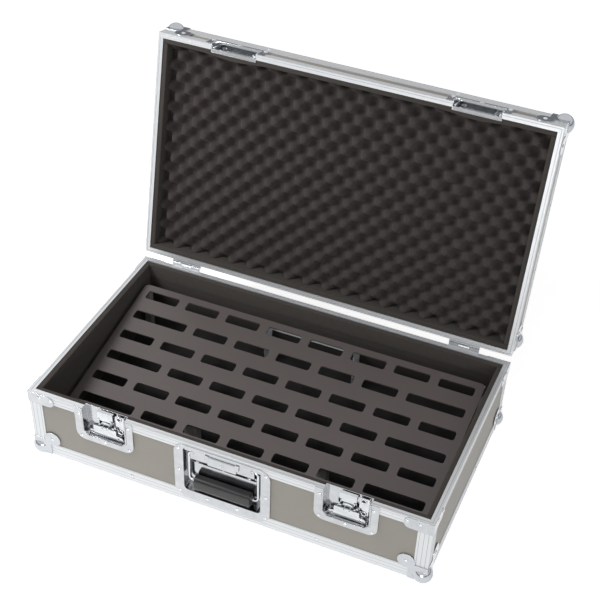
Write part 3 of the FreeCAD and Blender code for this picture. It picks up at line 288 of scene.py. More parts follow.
@dataclass(frozen=True)
class ExtrudedAluminium:
    """Satin anodised extrusions: fine die ribs along each length catch light as lines, and painted shade
    darkens the grooves.
    """

    shell: Shell
    lengths: Lengths
    colour: str = "#cdcfd1"
    # painted shade: the darker colour laid into the grooves between the ribs
    groove_shade: str = "#7f8184"
    pitch: float = 7.6 * MM
    groove_half: float = 0.55 * MM
    groove_relief: float = 0.3 * MM
    grit: float = 0.9 * MM
    grit_relief: float = 0.05 * MM
    metal: float = 0.75
    roughness: Flat = (0.4, 0.52)

    def make(self) -> bpy.types.Material:
        """Build the material, with its ribs across each length's own section.

        Returns:
            The material.
        """
        name = f"anodised_aluminium_{self.shell.value}_{self.lengths.name.lower()}"
        graph = Graph(bpy.data.materials.new(name))
        place = self.shut_place(graph)
        wave = graph.arithmetic("PINGPONG", self.across(graph, place), self.pitch / 2)
        rib = graph.add("ShaderNodeMapRange", {"Value": wave, "From Max": self.groove_half},
                        interpolation_type="SMOOTHSTEP").outputs[0]
        grit = graph.noise(place, self.grit)
        satin = graph.bump(grit, self.grit_relief, strength=0.15)
        # the rib mask darkens the colour in each groove as painted shade, and also shapes the real bump
        return graph.close(colour=graph.tint(rib, self.groove_shade, self.colour),
                           roughness=graph.spread(grit, *self.roughness),
                           normal=graph.bump(rib, self.groove_relief, strength=0.7, under=satin),
                           others={"Metallic": self.metal})

    def shut_place(self, graph: Graph) -> Socket:
        """Read places as they are with the lid shut, when all lengths run along the axes.

        Args:
            graph: the material's nodes.

        Returns:
            The place of a point.
        """
        if self.shell is Shell.BASE:
            return graph.place()
        shut = CASE.lid_open().inverted()
        inputs = {"Vector": graph.place(), "Location": shut.to_translation(), "Rotation": shut.to_euler()}
        return graph.add("ShaderNodeMapping", inputs).outputs["Vector"]

    def across(self, graph: Graph, place: Socket) -> Socket:
        """Measure how far a point lies across its own length's section.

        Args:
            graph: the material's nodes.
            place: the place of the point.

        Returns:
            The distance, from a start that differs from face to face.
        """
        axes = graph.add("ShaderNodeSeparateXYZ", {"Vector": place}).outputs
        far_x = graph.arithmetic("ABSOLUTE", axes["X"])
        far_y = graph.arithmetic("ABSOLUTE", axes["Y"])
        if self.lengths is Lengths.POST:
            return graph.arithmetic("ADD", far_x, far_y)
        from_end = graph.arithmetic("SUBTRACT", CASE.half_width, far_x)
        from_front = graph.arithmetic("SUBTRACT", CASE.half_depth, far_y)
        inset = graph.arithmetic("MINIMUM", from_end, from_front)
        return graph.arithmetic("ADD", inset, axes["Z"])


@dataclass(frozen=True)
class PlatedSteel:
    """Pressed steel with a bright zinc or nickel plate: soft pressed edges, a faint cloud in the shine."""

    name: str
    edge: float
    colour: str = "#bfc1c3"
    cloud: str = "#a5a7aa"
    smooth: float = 0.08
    dull: float = 0.17
    metal: float = 1.0
    patch: float = 14 * MM
    pit: float = 1.2 * MM
    relief: float = 0.05 * MM

    def make(self) -> bpy.types.Material:
        """Build the material.

        Returns:
            The material.
        """
        graph = Graph(bpy.data.materials.new(self.name))
        place = graph.place()
        patches = graph.noise(place, self.patch, detail=4.0)
        pits = graph.bump(graph.noise(place, self.pit), self.relief, strength=0.12)
        return graph.close(colour=graph.tint(patches, self.cloud, self.colour),
                           roughness=graph.spread(patches, self.smooth, self.dull, (0.3, 0.7)),
                           normal=graph.soften(pits, self.edge),
                           others={"Metallic": self.metal})


@dataclass(frozen=True)
class CellFoam:
    """Open-cell foam, cut and glued: a matt skin of tiny cells, a little darker in patches."""

    name: str
    colour: str
    shade: str
    cell: float
    patch: float = 9 * MM
    relief: float = 0.35 * MM

    def make(self) -> bpy.types.Material:
        """Build the material.

        Returns:
            The material.
        """
        graph = Graph(bpy.data.materials.new(self.name))
        place = graph.place()
        cells = graph.add("ShaderNodeTexVoronoi", {"Vector": place, "Scale": 1 / self.cell})
        patches = graph.noise(place, self.patch, detail=4.0)
        height = graph.arithmetic("ADD", cells.outputs["Distance"], patches)
        return graph.close(colour=graph.tint(patches, self.shade, self.colour), roughness=0.95,
                           normal=graph.bump(height, self.relief, strength=0.6),
                           others={"Sheen Weight": 0.03, "Sheen Roughness": 0.5})


@dataclass(frozen=True)
class MouldedRubber:
    """Moulded rubber on the handle: near black, with a fine grain and a dull shine."""

    name: str = "moulded_rubber"
    colour: str = "#2a2a2b"
    deep: str = "#1f1f20"
    grain: float = 0.8 * MM
    patch: float = 22 * MM
    relief: float = 0.1 * MM
    roughness: Flat = (0.38, 0.52)

    def make(self) -> bpy.types.Material:
        """Build the material.

        Returns:
            The material.
        """
        graph = Graph(bpy.data.materials.new(self.name))
        place = graph.place()
        grain = graph.noise(place, self.grain, detail=3.0)
        patches = graph.noise(place, self.patch)
        return graph.close(colour=graph.tint(patches, self.deep, self.colour),
                           roughness=graph.spread(patches, *self.roughness),
                           normal=graph.bump(grain, self.relief, strength=0.35))


@dataclass(frozen=True)
class PowderCoat:
    """Powder-coated sheet: an even satin with the slight orange peel of baked powder."""

    name: str
    colour: str
    deep: str
    peel: float = 2.2 * MM
    patch: float = 90 * MM
    relief: float = 0.08 * MM
    edge: float = 0.5 * MM
    roughness: Flat = (0.36, 0.48)

    def make(self) -> bpy.types.Material:
        """Build the material.

        Returns:
            The material.
        """
        graph = Graph(bpy.data.materials.new(self.name))
        place = graph.place()
        peel = graph.noise(place, self.peel, detail=1.0)
        patches = graph.noise(place, self.patch)
        bumps = graph.bump(peel, self.relief, strength=0.25)
        return graph.close(colour=graph.tint(patches, self.deep, self.colour),
                           roughness=graph.spread(peel, *self.roughness),
                           normal=graph.soften(bumps, self.edge))


def finishes() -> dict[str, bpy.types.Material]:
    """Make every finish on the case.

    Returns:
        The materials, by the names that the pieces ask for.
    """
    makers = {
        "laminate": Laminate(),
        "pressed_steel": PlatedSteel("bright_zinc_pressing", edge=0.7 * MM),
        "ball_steel": PlatedSteel("polished_nickel_pressing", edge=1.2 * MM, colour="#b9bcc0",
                                  cloud="#a9acb1", smooth=0.04, dull=0.09),
        "works_steel": PlatedSteel("bright_zinc_works", edge=0.3 * MM, colour="#d2d4d6",
                                   cloud="#aeb1b5", smooth=0.05, dull=0.11),
        "rivet_steel": PlatedSteel("bright_rivet", edge=0.3 * MM, colour="#d2d4d6",
                                   cloud="#b4b6ba", smooth=0.08, dull=0.16),
        # painted reflection: a near-white, non-metal colour stands in for the bright reflection on the
        # bracket's plated sheet
        "reflection_white_sheet": PlatedSteel("passivated_zinc_sheet", edge=0.4 * MM, colour="#fafbff",
                                  cloud="#f1f3f8", smooth=0.35, dull=0.45, metal=0.0),
        "lining": CellFoam("lining_foam", "#403b38", "#35312e", 1.1 * MM),
        "egg_crate": CellFoam("egg_crate_foam", "#3e3836", "#302b29", 1.6 * MM),
        "floor_lining": CellFoam("floor_lining_foam", "#262322", "#1f1c1b", 1.1 * MM),
        "rubber": MouldedRubber(),
        "board_paint": PowderCoat("satin_board_coat", "#5b5352", "#534c4b"),
        "leg_paint": PowderCoat("satin_leg_coat", "#b4b2b0", "#a9a7a5"),
    }
    for shell in Shell:
        for lengths in Lengths:
            name = f"{shell.value}_{lengths.name.lower()}"
            makers[name] = ExtrudedAluminium(shell, lengths)
    return {name: maker.make() for name, maker in makers.items()}


# Mesh work


def add_block(form: Form, low: Vector, high: Vector) -> list[Vert]:
    """Add a box between two corners.

    Args:
        form: the mesh to add to.
        low: one corner.
        high: the opposite corner.

    Returns:
        The box's vertices.
    """
    middle = Matrix.Translation((low + high) / 2)
    size = Matrix.Diagonal((*map(abs, high - low), 1))
    return bmesh.ops.create_cube(form, size=1, matrix=middle @ size)["verts"]


def add_slab(form: Form, outline: list[Vector], through: Vector) -> list[Vert]:
    """Add a flat outline and extrude it.

    Args:
        form: the mesh to add to.
        outline: the corners, in order.
        through: how far and which way the outline is extruded.

    Returns:
        The slab's vertices.
    """
    face = form.faces.new([form.verts.new(point) for point in outline])
    grown = bmesh.ops.extrude_face_region(form, geom=[face])["geom"]
    far = [item for item in grown if isinstance(item, Vert)]
    bmesh.ops.translate(form, vec=through, verts=far)
    return far + list(face.verts)


def add_ring(form: Form, centre: Vector, radius: float, bead: float, axis: Vector = FORWARD) -> None:
    """Add a round bead bent into a ring, as an eyelet or a ring rivet has.

    Args:
        form: the mesh to add to.
        centre: the ring's middle.
        radius: from the middle to the bead's own centre.
        bead: the bead's radius.
        axis: the direction that the ring faces.
    """
    turn = axis.to_track_quat("Z", "Y").to_matrix().to_4x4()
    section = Matrix.Translation((radius, 0, 0)) @ Matrix.Rotation(math.pi / 2, 4, "X")
    place = Matrix.Translation(centre) @ turn @ section
    circle = bmesh.ops.create_circle(form, segments=10, radius=bead, matrix=place)["verts"]
    edges = list({edge for vert in circle for edge in vert.link_edges})
    bmesh.ops.spin(form, geom=circle + edges, cent=centre, axis=turn.to_3x3() @ Vector((0, 0, 1)),
                   angle=2 * math.pi, steps=24, use_merge=True)


def add_shade_plug(form: Form, centre: Vector, radius: float, length: float, segments: int) -> None:
    """Add a short black plug that faces forward, set in a hole as its painted shade.

    Args:
        form: the mesh to add to.
        centre: the plug's middle.
        radius: the radius of its back. Its front is a little narrower.
        length: from back to front.
        segments: how many flats make up its round.
    """
    taper = 0.2 * MM
    place = Matrix.Translation(centre) @ Matrix.Rotation(math.pi / 2, 4, "X")
    bmesh.ops.create_cone(form, cap_ends=True, segments=segments, radius1=radius,
                          radius2=radius - taper, depth=length, matrix=place)


def round_off(form: Form, verts: Iterable[Vert], radius: float, segments: int = 2,
              chosen: Callable[[Edge], bool] = lambda edge: True) -> None:
    """Round the sharp edges of some vertices.

    Args:
        form: the mesh that they are in.
        verts: the vertices whose edges are looked at.
        radius: the radius of the rounding.
        segments: how many flats make it up.
        chosen: a test that an edge has to pass.
    """
    edges = {edge for vert in verts for edge in vert.link_edges}
    sharp = [edge for edge in edges if len(edge.link_faces) == 2
             and edge.calc_face_angle(0) > SHARP_OVER and chosen(edge)]
    bmesh.ops.bevel(form, geom=sharp, offset=radius, segments=segments, profile=0.5, affect="EDGES",
                    material=-1)


def span(edge: Edge) -> Vector:
    """How far an edge reaches along each axis."""
    return Vector(map(abs, edge.verts[1].co - edge.verts[0].co))


def runs_back(edge: Edge) -> bool:
    """Whether an edge runs from the front to the back of a sheet."""
    return span(edge).y > MM


def open_edges(form: Form) -> list[Edge]:
    """The edges with a face on one side only."""
    return [edge for edge in form.edges if edge.is_boundary]


def place_in_scene(name: str, data: bpy.types.ID) -> bpy.types.Object:
    """Make an object of a mesh, a lamp or a camera.

    Args:
        name: the object's name.
        data: the mesh, lamp or camera.

    Returns:
        The object.
    """
    thing = bpy.data.objects.new(name, data)
    bpy.context.scene.collection.objects.link(thing)
    return thing


@dataclass(frozen=True)
class Datum:
    """A spot on the front face that small parts are placed from, in millimetres.

    Attributes:
        across: how far it is to the right of the middle, in millimetres.
        height: how high it is over the floor, in metres.
    """

    across: float = 0.0
    height: float = CASE.bottom

    def point(self, x: float, level: float, depth: float) -> Vector:
        """A point so far to the right, so far up and so far behind the front face."""
        return Vector(((self.across + x) * MM, -CASE.half_depth + depth * MM, self.height + level * MM))

    def beside(self, x: float) -> "Datum":
        """Another such spot, so far to the right."""
        return replace(self, across=self.across + x)

    def block(self, form: Form, low: Spot, high: Spot) -> list[Vert]:
        """Add a box between two such points."""
        return add_block(form, self.point(*low), self.point(*high))


@dataclass
class Fitter:
    """Turns finished meshes into pieces that ride on the frame's bodies."""

    frame: dict[str, Any]
    materials: dict[str, bpy.types.Material]

    def fit(self, form: Form, name: str, body: str, material: str, slot: str,
            shell: Shell = Shell.BASE) -> bpy.types.Object:
        """Make a piece of a mesh and seat it on its body.

        Args:
            form: the mesh, in the shut case's place.
            name: the piece's name.
            body: the body that it moves with.
            material: the name of its finish.
            slot: the record's slot for that finish. Not used.
            shell: the half of the case that it belongs to.

        Returns:
            The piece.
        """
        bmesh.ops.remove_doubles(form, verts=form.verts, dist=WELD)
        bmesh.ops.recalc_face_normals(form, faces=form.faces)
        if shell is Shell.LID:
            bmesh.ops.transform(form, matrix=CASE.lid_open(), verts=form.verts)
        for face in form.faces:
            face.smooth = True
        mesh = bpy.data.meshes.new(name)
        form.to_mesh(mesh)
        form.free()
        mesh.set_sharp_from_angle(angle=SMOOTH_BELOW)
        mesh.materials.append(self.materials[material])
        piece = place_in_scene(name, mesh)
        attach(piece, body)
        LOG.info("%s: %d faces, rides on %s", name, len(mesh.polygons), body)
        return piece

    def dress(self, node: str, material: str) -> None:
        """Give a solid of the frame its finish.

        Args:
            node: the solid's name.
            material: the name of its finish.
        """
        mesh = self.frame["nodes"][node].data
        mesh.materials.clear()
        mesh.materials.append(self.materials[material])


# The sub-assemblies


@dataclass
class Shells:
    """Panels, extrusions, corners, braces, rivets and hinges, which keep their own solids."""

    fitter: Fitter

    def dress(self) -> None:
        """Give each of them its finish."""
        for shell, cap in ((Shell.BASE, "bottom"), (Shell.LID, "top")):
            tag = shell.value
            for side in (cap, "front", "back", "left", "right"):
                self.fitter.dress(f"{tag}_{side}_panel", "laminate")
            for node in ("edge_profiles", "rim_front", "rim_right", "rim_back", "rim_left"):
                self.fitter.dress(f"{tag}_{node}", f"{tag}_frame")
            self.fitter.dress(f"{tag}_corner_profiles", f"{tag}_post")
            self.fitter.dress(f"{tag}_ball_corners", "ball_steel")
            self.fitter.dress(f"{tag}_rivets", "rivet_steel")
        for node in ("base_rim_braces", "hinge_base_leaves", "hinge_lid_leaves"):
            self.fitter.dress(node, "pressed_steel")
        self.fitter.dress("hinge_pins", "rivet_steel")


def keeper_bulge(x: float) -> float:
    """How far the lid's front foam is pushed in at a place across, most behind the two keepers."""
    away = min(abs(abs(x) - CASE.latch_place) / BULGE_REACH, 1)
    return BULGE_DEPTH * (0.5 + 0.5 * math.cos(math.pi * away))


@dataclass
class EggCrateFoam:
    """The lid's convoluted foam: staggered rounded bumps that point out of the lid.

    The valley is counted from the lid's rim and the relief from the valley. A tip_round of 1 gives an even
    wave, and more gives slender bumps. The play is left round the sheet and behind it.
    """

    fitter: Fitter
    period: float = 38.9 * MM
    relief: float = 20 * MM
    valley: float = 31.7 * MM
    tip_round: float = 1.7
    steps: int = 14
    play: float = 0.3 * MM

    def build(self) -> None:
        """Shape the foam from a grid and close its sides and back."""
        half_x = CASE.half_width - CASE.lined - self.play
        half_y = CASE.half_depth - CASE.lined - self.play
        form = bmesh.new()
        columns = round(2 * half_x / self.period * self.steps)
        rows = round(2 * half_y / self.period * self.steps)
        bmesh.ops.create_grid(form, x_segments=columns, y_segments=rows, size=1)
        reach = max(vert.co.x for vert in form.verts)
        for vert in form.verts:
            x, y = vert.co.x / reach * half_x, vert.co.y / reach * half_y
            y += keeper_bulge(x) * max(0.0, 1 - (y + half_y) / self.period)
            vert.co = Vector((x, y, CASE.lid_rim + self.valley - self.relief * self.height(x, y)))
        skirt = bmesh.ops.extrude_edge_only(form, edges=open_edges(form))["geom"]
        back = CASE.lid_rim + CASE.lid_height - CASE.wall - self.play
        for vert in (item for item in skirt if isinstance(item, Vert)):
            vert.co.z = back
        bmesh.ops.holes_fill(form, edges=open_edges(form), sides=0)
        piece = self.fitter.fit(form, "egg_crate_foam", "lid", "egg_crate", "egg_crate_foam", Shell.LID)
        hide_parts("lid_foam")

    def height(self, x: float, y: float) -> float:
        """How far up a bump a point is, from 0 in a valley to 1 at a tip."""
        wave = (1 + math.cos(math.tau * x / self.period) * math.cos(math.tau * y / self.period)) / 2
        return math.sin(wave ** self.tip_round * math.pi / 2)


@dataclass
class FoamLining:
    """Foam strips glued round the inside of both halves, and the sheet on the floor.

    A strip starts at the outer size from its wall's outer face. The front one starts behind the pressed
    dishes, at the pocket size, and ledges fill the room between the dishes along the rim. The lid's front
    strip is cut along its length so that it can bend.
    """

    fitter: Fitter
    outer: float = 9.5 * MM
    pocket: float = 14.3 * MM
    edge: float = 1.6 * MM
    rim_gap: float = 1.5 * MM
    ledge: float = 7.5 * MM
    ledge_edge: float = 0.8 * MM
    latch_half: float = 41.6 * MM
    keeper_half: float = 43.6 * MM
    sheet: float = 6 * MM
    cuts: int = 119

    def build(self) -> None:
        """Make the base's lining, the lid's lining and the sheet on the floor."""
        self.line_base()
        self.line_lid()
        self.cover_floor()

    def line_base(self) -> None:
        """Make the strips in the base."""
        form = bmesh.new()
        low, top = CASE.bottom + CASE.wall, CASE.rim - self.rim_gap
        self.strips(form, low, top)
        self.ledges(form, top, top - self.ledge, self.latch_half)
        piece = self.fitter.fit(form, "base_foam_lining", "base", "lining", "lining_foam")
        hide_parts("base_wall_lining")

    def line_lid(self) -> None:
        """Make the strips in the lid, pushed in behind the keepers."""
        form = bmesh.new()
        low, top = CASE.lid_rim + self.rim_gap, CASE.lid_rim + CASE.lid_height - CASE.wall
        self.strips(form, low, top)
        self.push_in(form)
        self.ledges(form, low, low + self.ledge, self.keeper_half)
        piece = self.fitter.fit(form, "lid_foam_lining", "lid", "lining", "lining_foam", Shell.LID)
        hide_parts("lid_wall_lining")

    def cover_floor(self) -> None:
        """Lay the sheet on the base's floor."""
        form = bmesh.new()
        x, y = CASE.half_width - CASE.lined, CASE.half_depth - CASE.lined
        floor = CASE.bottom + CASE.wall
        sheet = add_block(form, Vector((-x, -y, floor)), Vector((x, y, floor + self.sheet)))
        round_off(form, sheet, self.edge)
        piece = self.fitter.fit(form, "floor_foam", "base", "floor_lining", "lining_foam")
        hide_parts("base_floor_lining")

    def strips(self, form: Form, low: float, top: float) -> None:
        """Add the strips on the two ends, the back and the front.

        Args:
            form: the mesh to add to.
            low: the height of their lower edges.
            top: the height of their upper edges.
        """
        x_out, y_out = CASE.half_width - self.outer, CASE.half_depth - self.outer
        x_in, y_in = CASE.half_width - CASE.lined, CASE.half_depth - CASE.lined
        for sign in SIDES.values():
            end = add_block(form, Vector((sign * x_in, -y_in, low)), Vector((sign * x_out, y_in, top)))
            round_off(form, end, self.edge)
        back = add_block(form, Vector((-x_out, y_in, low)), Vector((x_out, y_out, top)))
        round_off(form, back, self.edge)
        y_front = self.pocket - CASE.half_depth
        front = add_block(form, Vector((-x_out, y_front, low)), Vector((x_out, -y_in, top)))
        round_off(form, front, self.edge, chosen=lambda edge: span(edge).x > MM)

    def ledges(self, form: Form, rim_side: float, far_side: float, room: float) -> None:
        """Fill the room in front of the front strip, between the dishes.

        Args:
            form: the mesh to add to.
            rim_side: the height of the filling's side at the rim.
            far_side: the height of its other side.
            room: half the width that a dish needs.
        """
        x_out = CASE.half_width - self.outer
        y_out, y_in = self.outer - CASE.half_depth, self.pocket + MM - CASE.half_depth
        marks = [-x_out, -CASE.latch_place - room, -CASE.latch_place + room,
                 CASE.latch_place - room, CASE.latch_place + room, x_out]
        for start, end in zip(marks[::2], marks[1::2]):
            ledge = add_block(form, Vector((start, y_out, rim_side)), Vector((end, y_in, far_side)))
            round_off(form, ledge, self.ledge_edge)

    def push_in(self, form: Form) -> None:
        """Bend the lid's front strip inwards behind each keeper, where the dish presses on it.

        Args:
            form: the mesh that the strip is in.
        """
        outside, inside = self.pocket - CASE.half_depth, CASE.lined - CASE.half_depth + MM
        reached = {vert for vert in form.verts if outside - MM < vert.co.y < inside}
        lengths = [edge for edge in form.edges
                   if set(edge.verts) <= reached and span(edge).x > CASE.half_width]
        bmesh.ops.subdivide_edges(form, edges=lengths, cuts=self.cuts, use_grid_fill=True)
        for vert in form.verts:
            if outside + 1.5 * MM < vert.co.y < inside:
                vert.co.y += keeper_bulge(vert.co.x)


@dataclass
class Latch:
    """One recessed butterfly latch and its keeper, with the trim round their works.

    Its sizes are in millimetres, from a Datum in the latch's middle. The bracket stands beside the hook:
    a plate with a fold at its side, and a lower seat. Each eyelet has the depth of the black plug in it,
    which is painted shade in the hole.
    """

    fitter: Fitter
    side: str
    latch: Datum
    keeper: Datum
    skirt_outline: tuple[Flat, ...] = ((-35.5, 84), (35.5, 84), (31, 92.5), (13.5, 95.2), (-13.5, 95.2),
                                       (-31, 92.5))
    skirt_depth: float = 4.6
    skirt_sheet: float = 1.2
    foot: Box = ((-2, 84.6, 5.5), (2, 85.8, 12.9))
    foot_places: Flat = (-33, 33)
    hole_places: Flat = (-25, 24)
    hole_level: float = 88
    bracket_plate: Box = ((19, 112, 7.6), (36.5, 139.2, 8.8))
    bracket_fold: Box = ((34.8, 112, 7.6), (36.2, 139, 12.9))
    bracket_seat: Box = ((19.5, 92, 10.4), (34.5, 110.5, 11.6))
    eyelets: tuple[tuple[Spot, float], ...] = (((26.5, 133.5, 7.2), 7.5), ((27, 102, 9.8), 10.2))
    bead_path: tuple[Flat, ...] = ((-41.5, 139.8), (-41.5, 88.7), (-33, 80.2), (33, 80.2), (41.5, 88.7),
                                   (41.5, 139.8))
    bead_half: float = 1.3
    bead_back: float = -1.1
    bead_rise: float = 0.9
    keeper_eyelets: tuple[Spot, ...] = ((-31, 11, 12.2), (30, 11, 12.2))
    keeper_beads: tuple[Box, ...] = (((-43.6, 21.2, -1.1), (43.6, 23.2, -1.9)),
                                     ((-44.4, 0.6, -1.1), (-42.4, 23.2, -1.9)),
                                     ((42.4, 0.6, -1.1), (44.4, 23.2, -1.9)))
    keeper_ears: tuple[Box, ...] = (((-41.7, 1.5, 4.5), (-37.2, 19, 12.2)),
                                    ((37.2, 1.5, 4.5), (41.7, 19, 12.2)))

    def build(self) -> None:
        """Dress the latch's solids and add its trim."""
        for node in ("latch_dish", "keeper_dish"):
            self.fitter.dress(f"{node}_{self.side}", "pressed_steel")
        for part in ("mount", "draw_plate", "hook", "rotor", "wing"):
            self.fitter.dress(f"latch_{part}_{self.side}", "works_steel")
        self.skirt()
        self.bracket()
        self.recess_bead()
        self.keeper_trim()

    def skirt(self) -> None:
        """Add the embossed plate at the foot of the works, its feet, and two holes with black plugs as
        painted shade.
        """
        form, shade_plugs = bmesh.new(), bmesh.new()
        outline = [self.latch.point(x, level, self.skirt_depth) for x, level in self.skirt_outline]
        plate = add_slab(form, outline, Vector((0, self.skirt_sheet * MM, 0)))
        round_off(form, plate, radius=0.5 * MM)
        for x in self.foot_places:
            round_off(form, self.latch.beside(x).block(form, *self.foot), radius=0.3 * MM)
        for x in self.hole_places:
            front = self.latch.point(x, self.hole_level, self.skirt_depth)
            add_ring(form, front, radius=2.2 * MM, bead=0.7 * MM)
            # a black plug behind the hole's ring: painted shade
            add_shade_plug(shade_plugs, front + Vector((0, 0.3 * MM, 0)), radius=1.7 * MM, length=1.0 * MM, segments=16)
        self.fitter.fit(form, f"latch_skirt_{self.side}", "base", "works_steel", "plated_steel")
        self.fitter.fit(shade_plugs, f"latch_skirt_holes_{self.side}", "base", "rubber", "grip_rubber")

    def bracket(self) -> None:
        """Add the folded bracket beside the hook, and its two eyelets with black plugs as painted shade."""
        form, shade_plugs = bmesh.new(), bmesh.new()
        plate = self.latch.block(form, *self.bracket_plate)
        round_off(form, plate, radius=2.4 * MM, segments=3, chosen=runs_back)
        round_off(form, self.latch.block(form, *self.bracket_fold), radius=0.4 * MM)
        round_off(form, self.latch.block(form, *self.bracket_seat), radius=0.5 * MM)
        for (x, level, depth), shade_plug_depth in self.eyelets:
            add_ring(form, self.latch.point(x, level, depth), radius=4.3 * MM, bead=1.3 * MM)
            middle = self.latch.point(x, level, shade_plug_depth)
            # a black plug in the eyelet: painted shade
            add_shade_plug(shade_plugs, middle, radius=3.3 * MM, length=0.6 * MM, segments=20)
        self.fitter.fit(form, f"latch_bracket_{self.side}", "base", "works_steel", "plated_steel")
        self.fitter.fit(shade_plugs, f"latch_eyelets_{self.side}", "base", "rubber", "grip_rubber")

    def recess_bead(self) -> None:
        """Add the raised bead that the press leaves round the recess, a bar for each side."""
        form = bmesh.new()
        path = [Vector(corner) for corner in self.bead_path]
        for start, end in zip(path, path[1:]):
            along = (end - start).normalized()
            out = Vector((-along.y, along.x)) * self.bead_half
            corners = (start - out, end - out, end + out, start + out)
            outline = [self.latch.point(*corner, self.bead_back) for corner in corners]
            bar = add_slab(form, outline, Vector((0, -self.bead_rise * MM, 0)))
            round_off(form, bar, radius=0.6 * MM, segments=3)
        self.fitter.fit(form, f"latch_bead_{self.side}", "base", "pressed_steel", "plated_steel")

    def keeper_trim(self) -> None:
        """Add the keeper's eyelets, the bead round its mouth and the ears at the mouth's ends."""
        form = bmesh.new()
        for spot in self.keeper_eyelets:
            add_ring(form, self.keeper.point(*spot), radius=4.4 * MM, bead=1.3 * MM)
        for box in self.keeper_beads:
            round_off(form, self.keeper.block(form, *box), radius=0.35 * MM, segments=3)
        for box in self.keeper_ears:
            round_off(form, self.keeper.block(form, *box), radius=1.6 * MM, segments=3)
        self.fitter.fit(form, f"keeper_trim_{self.side}", "lid", "works_steel", "plated_steel", Shell.LID)


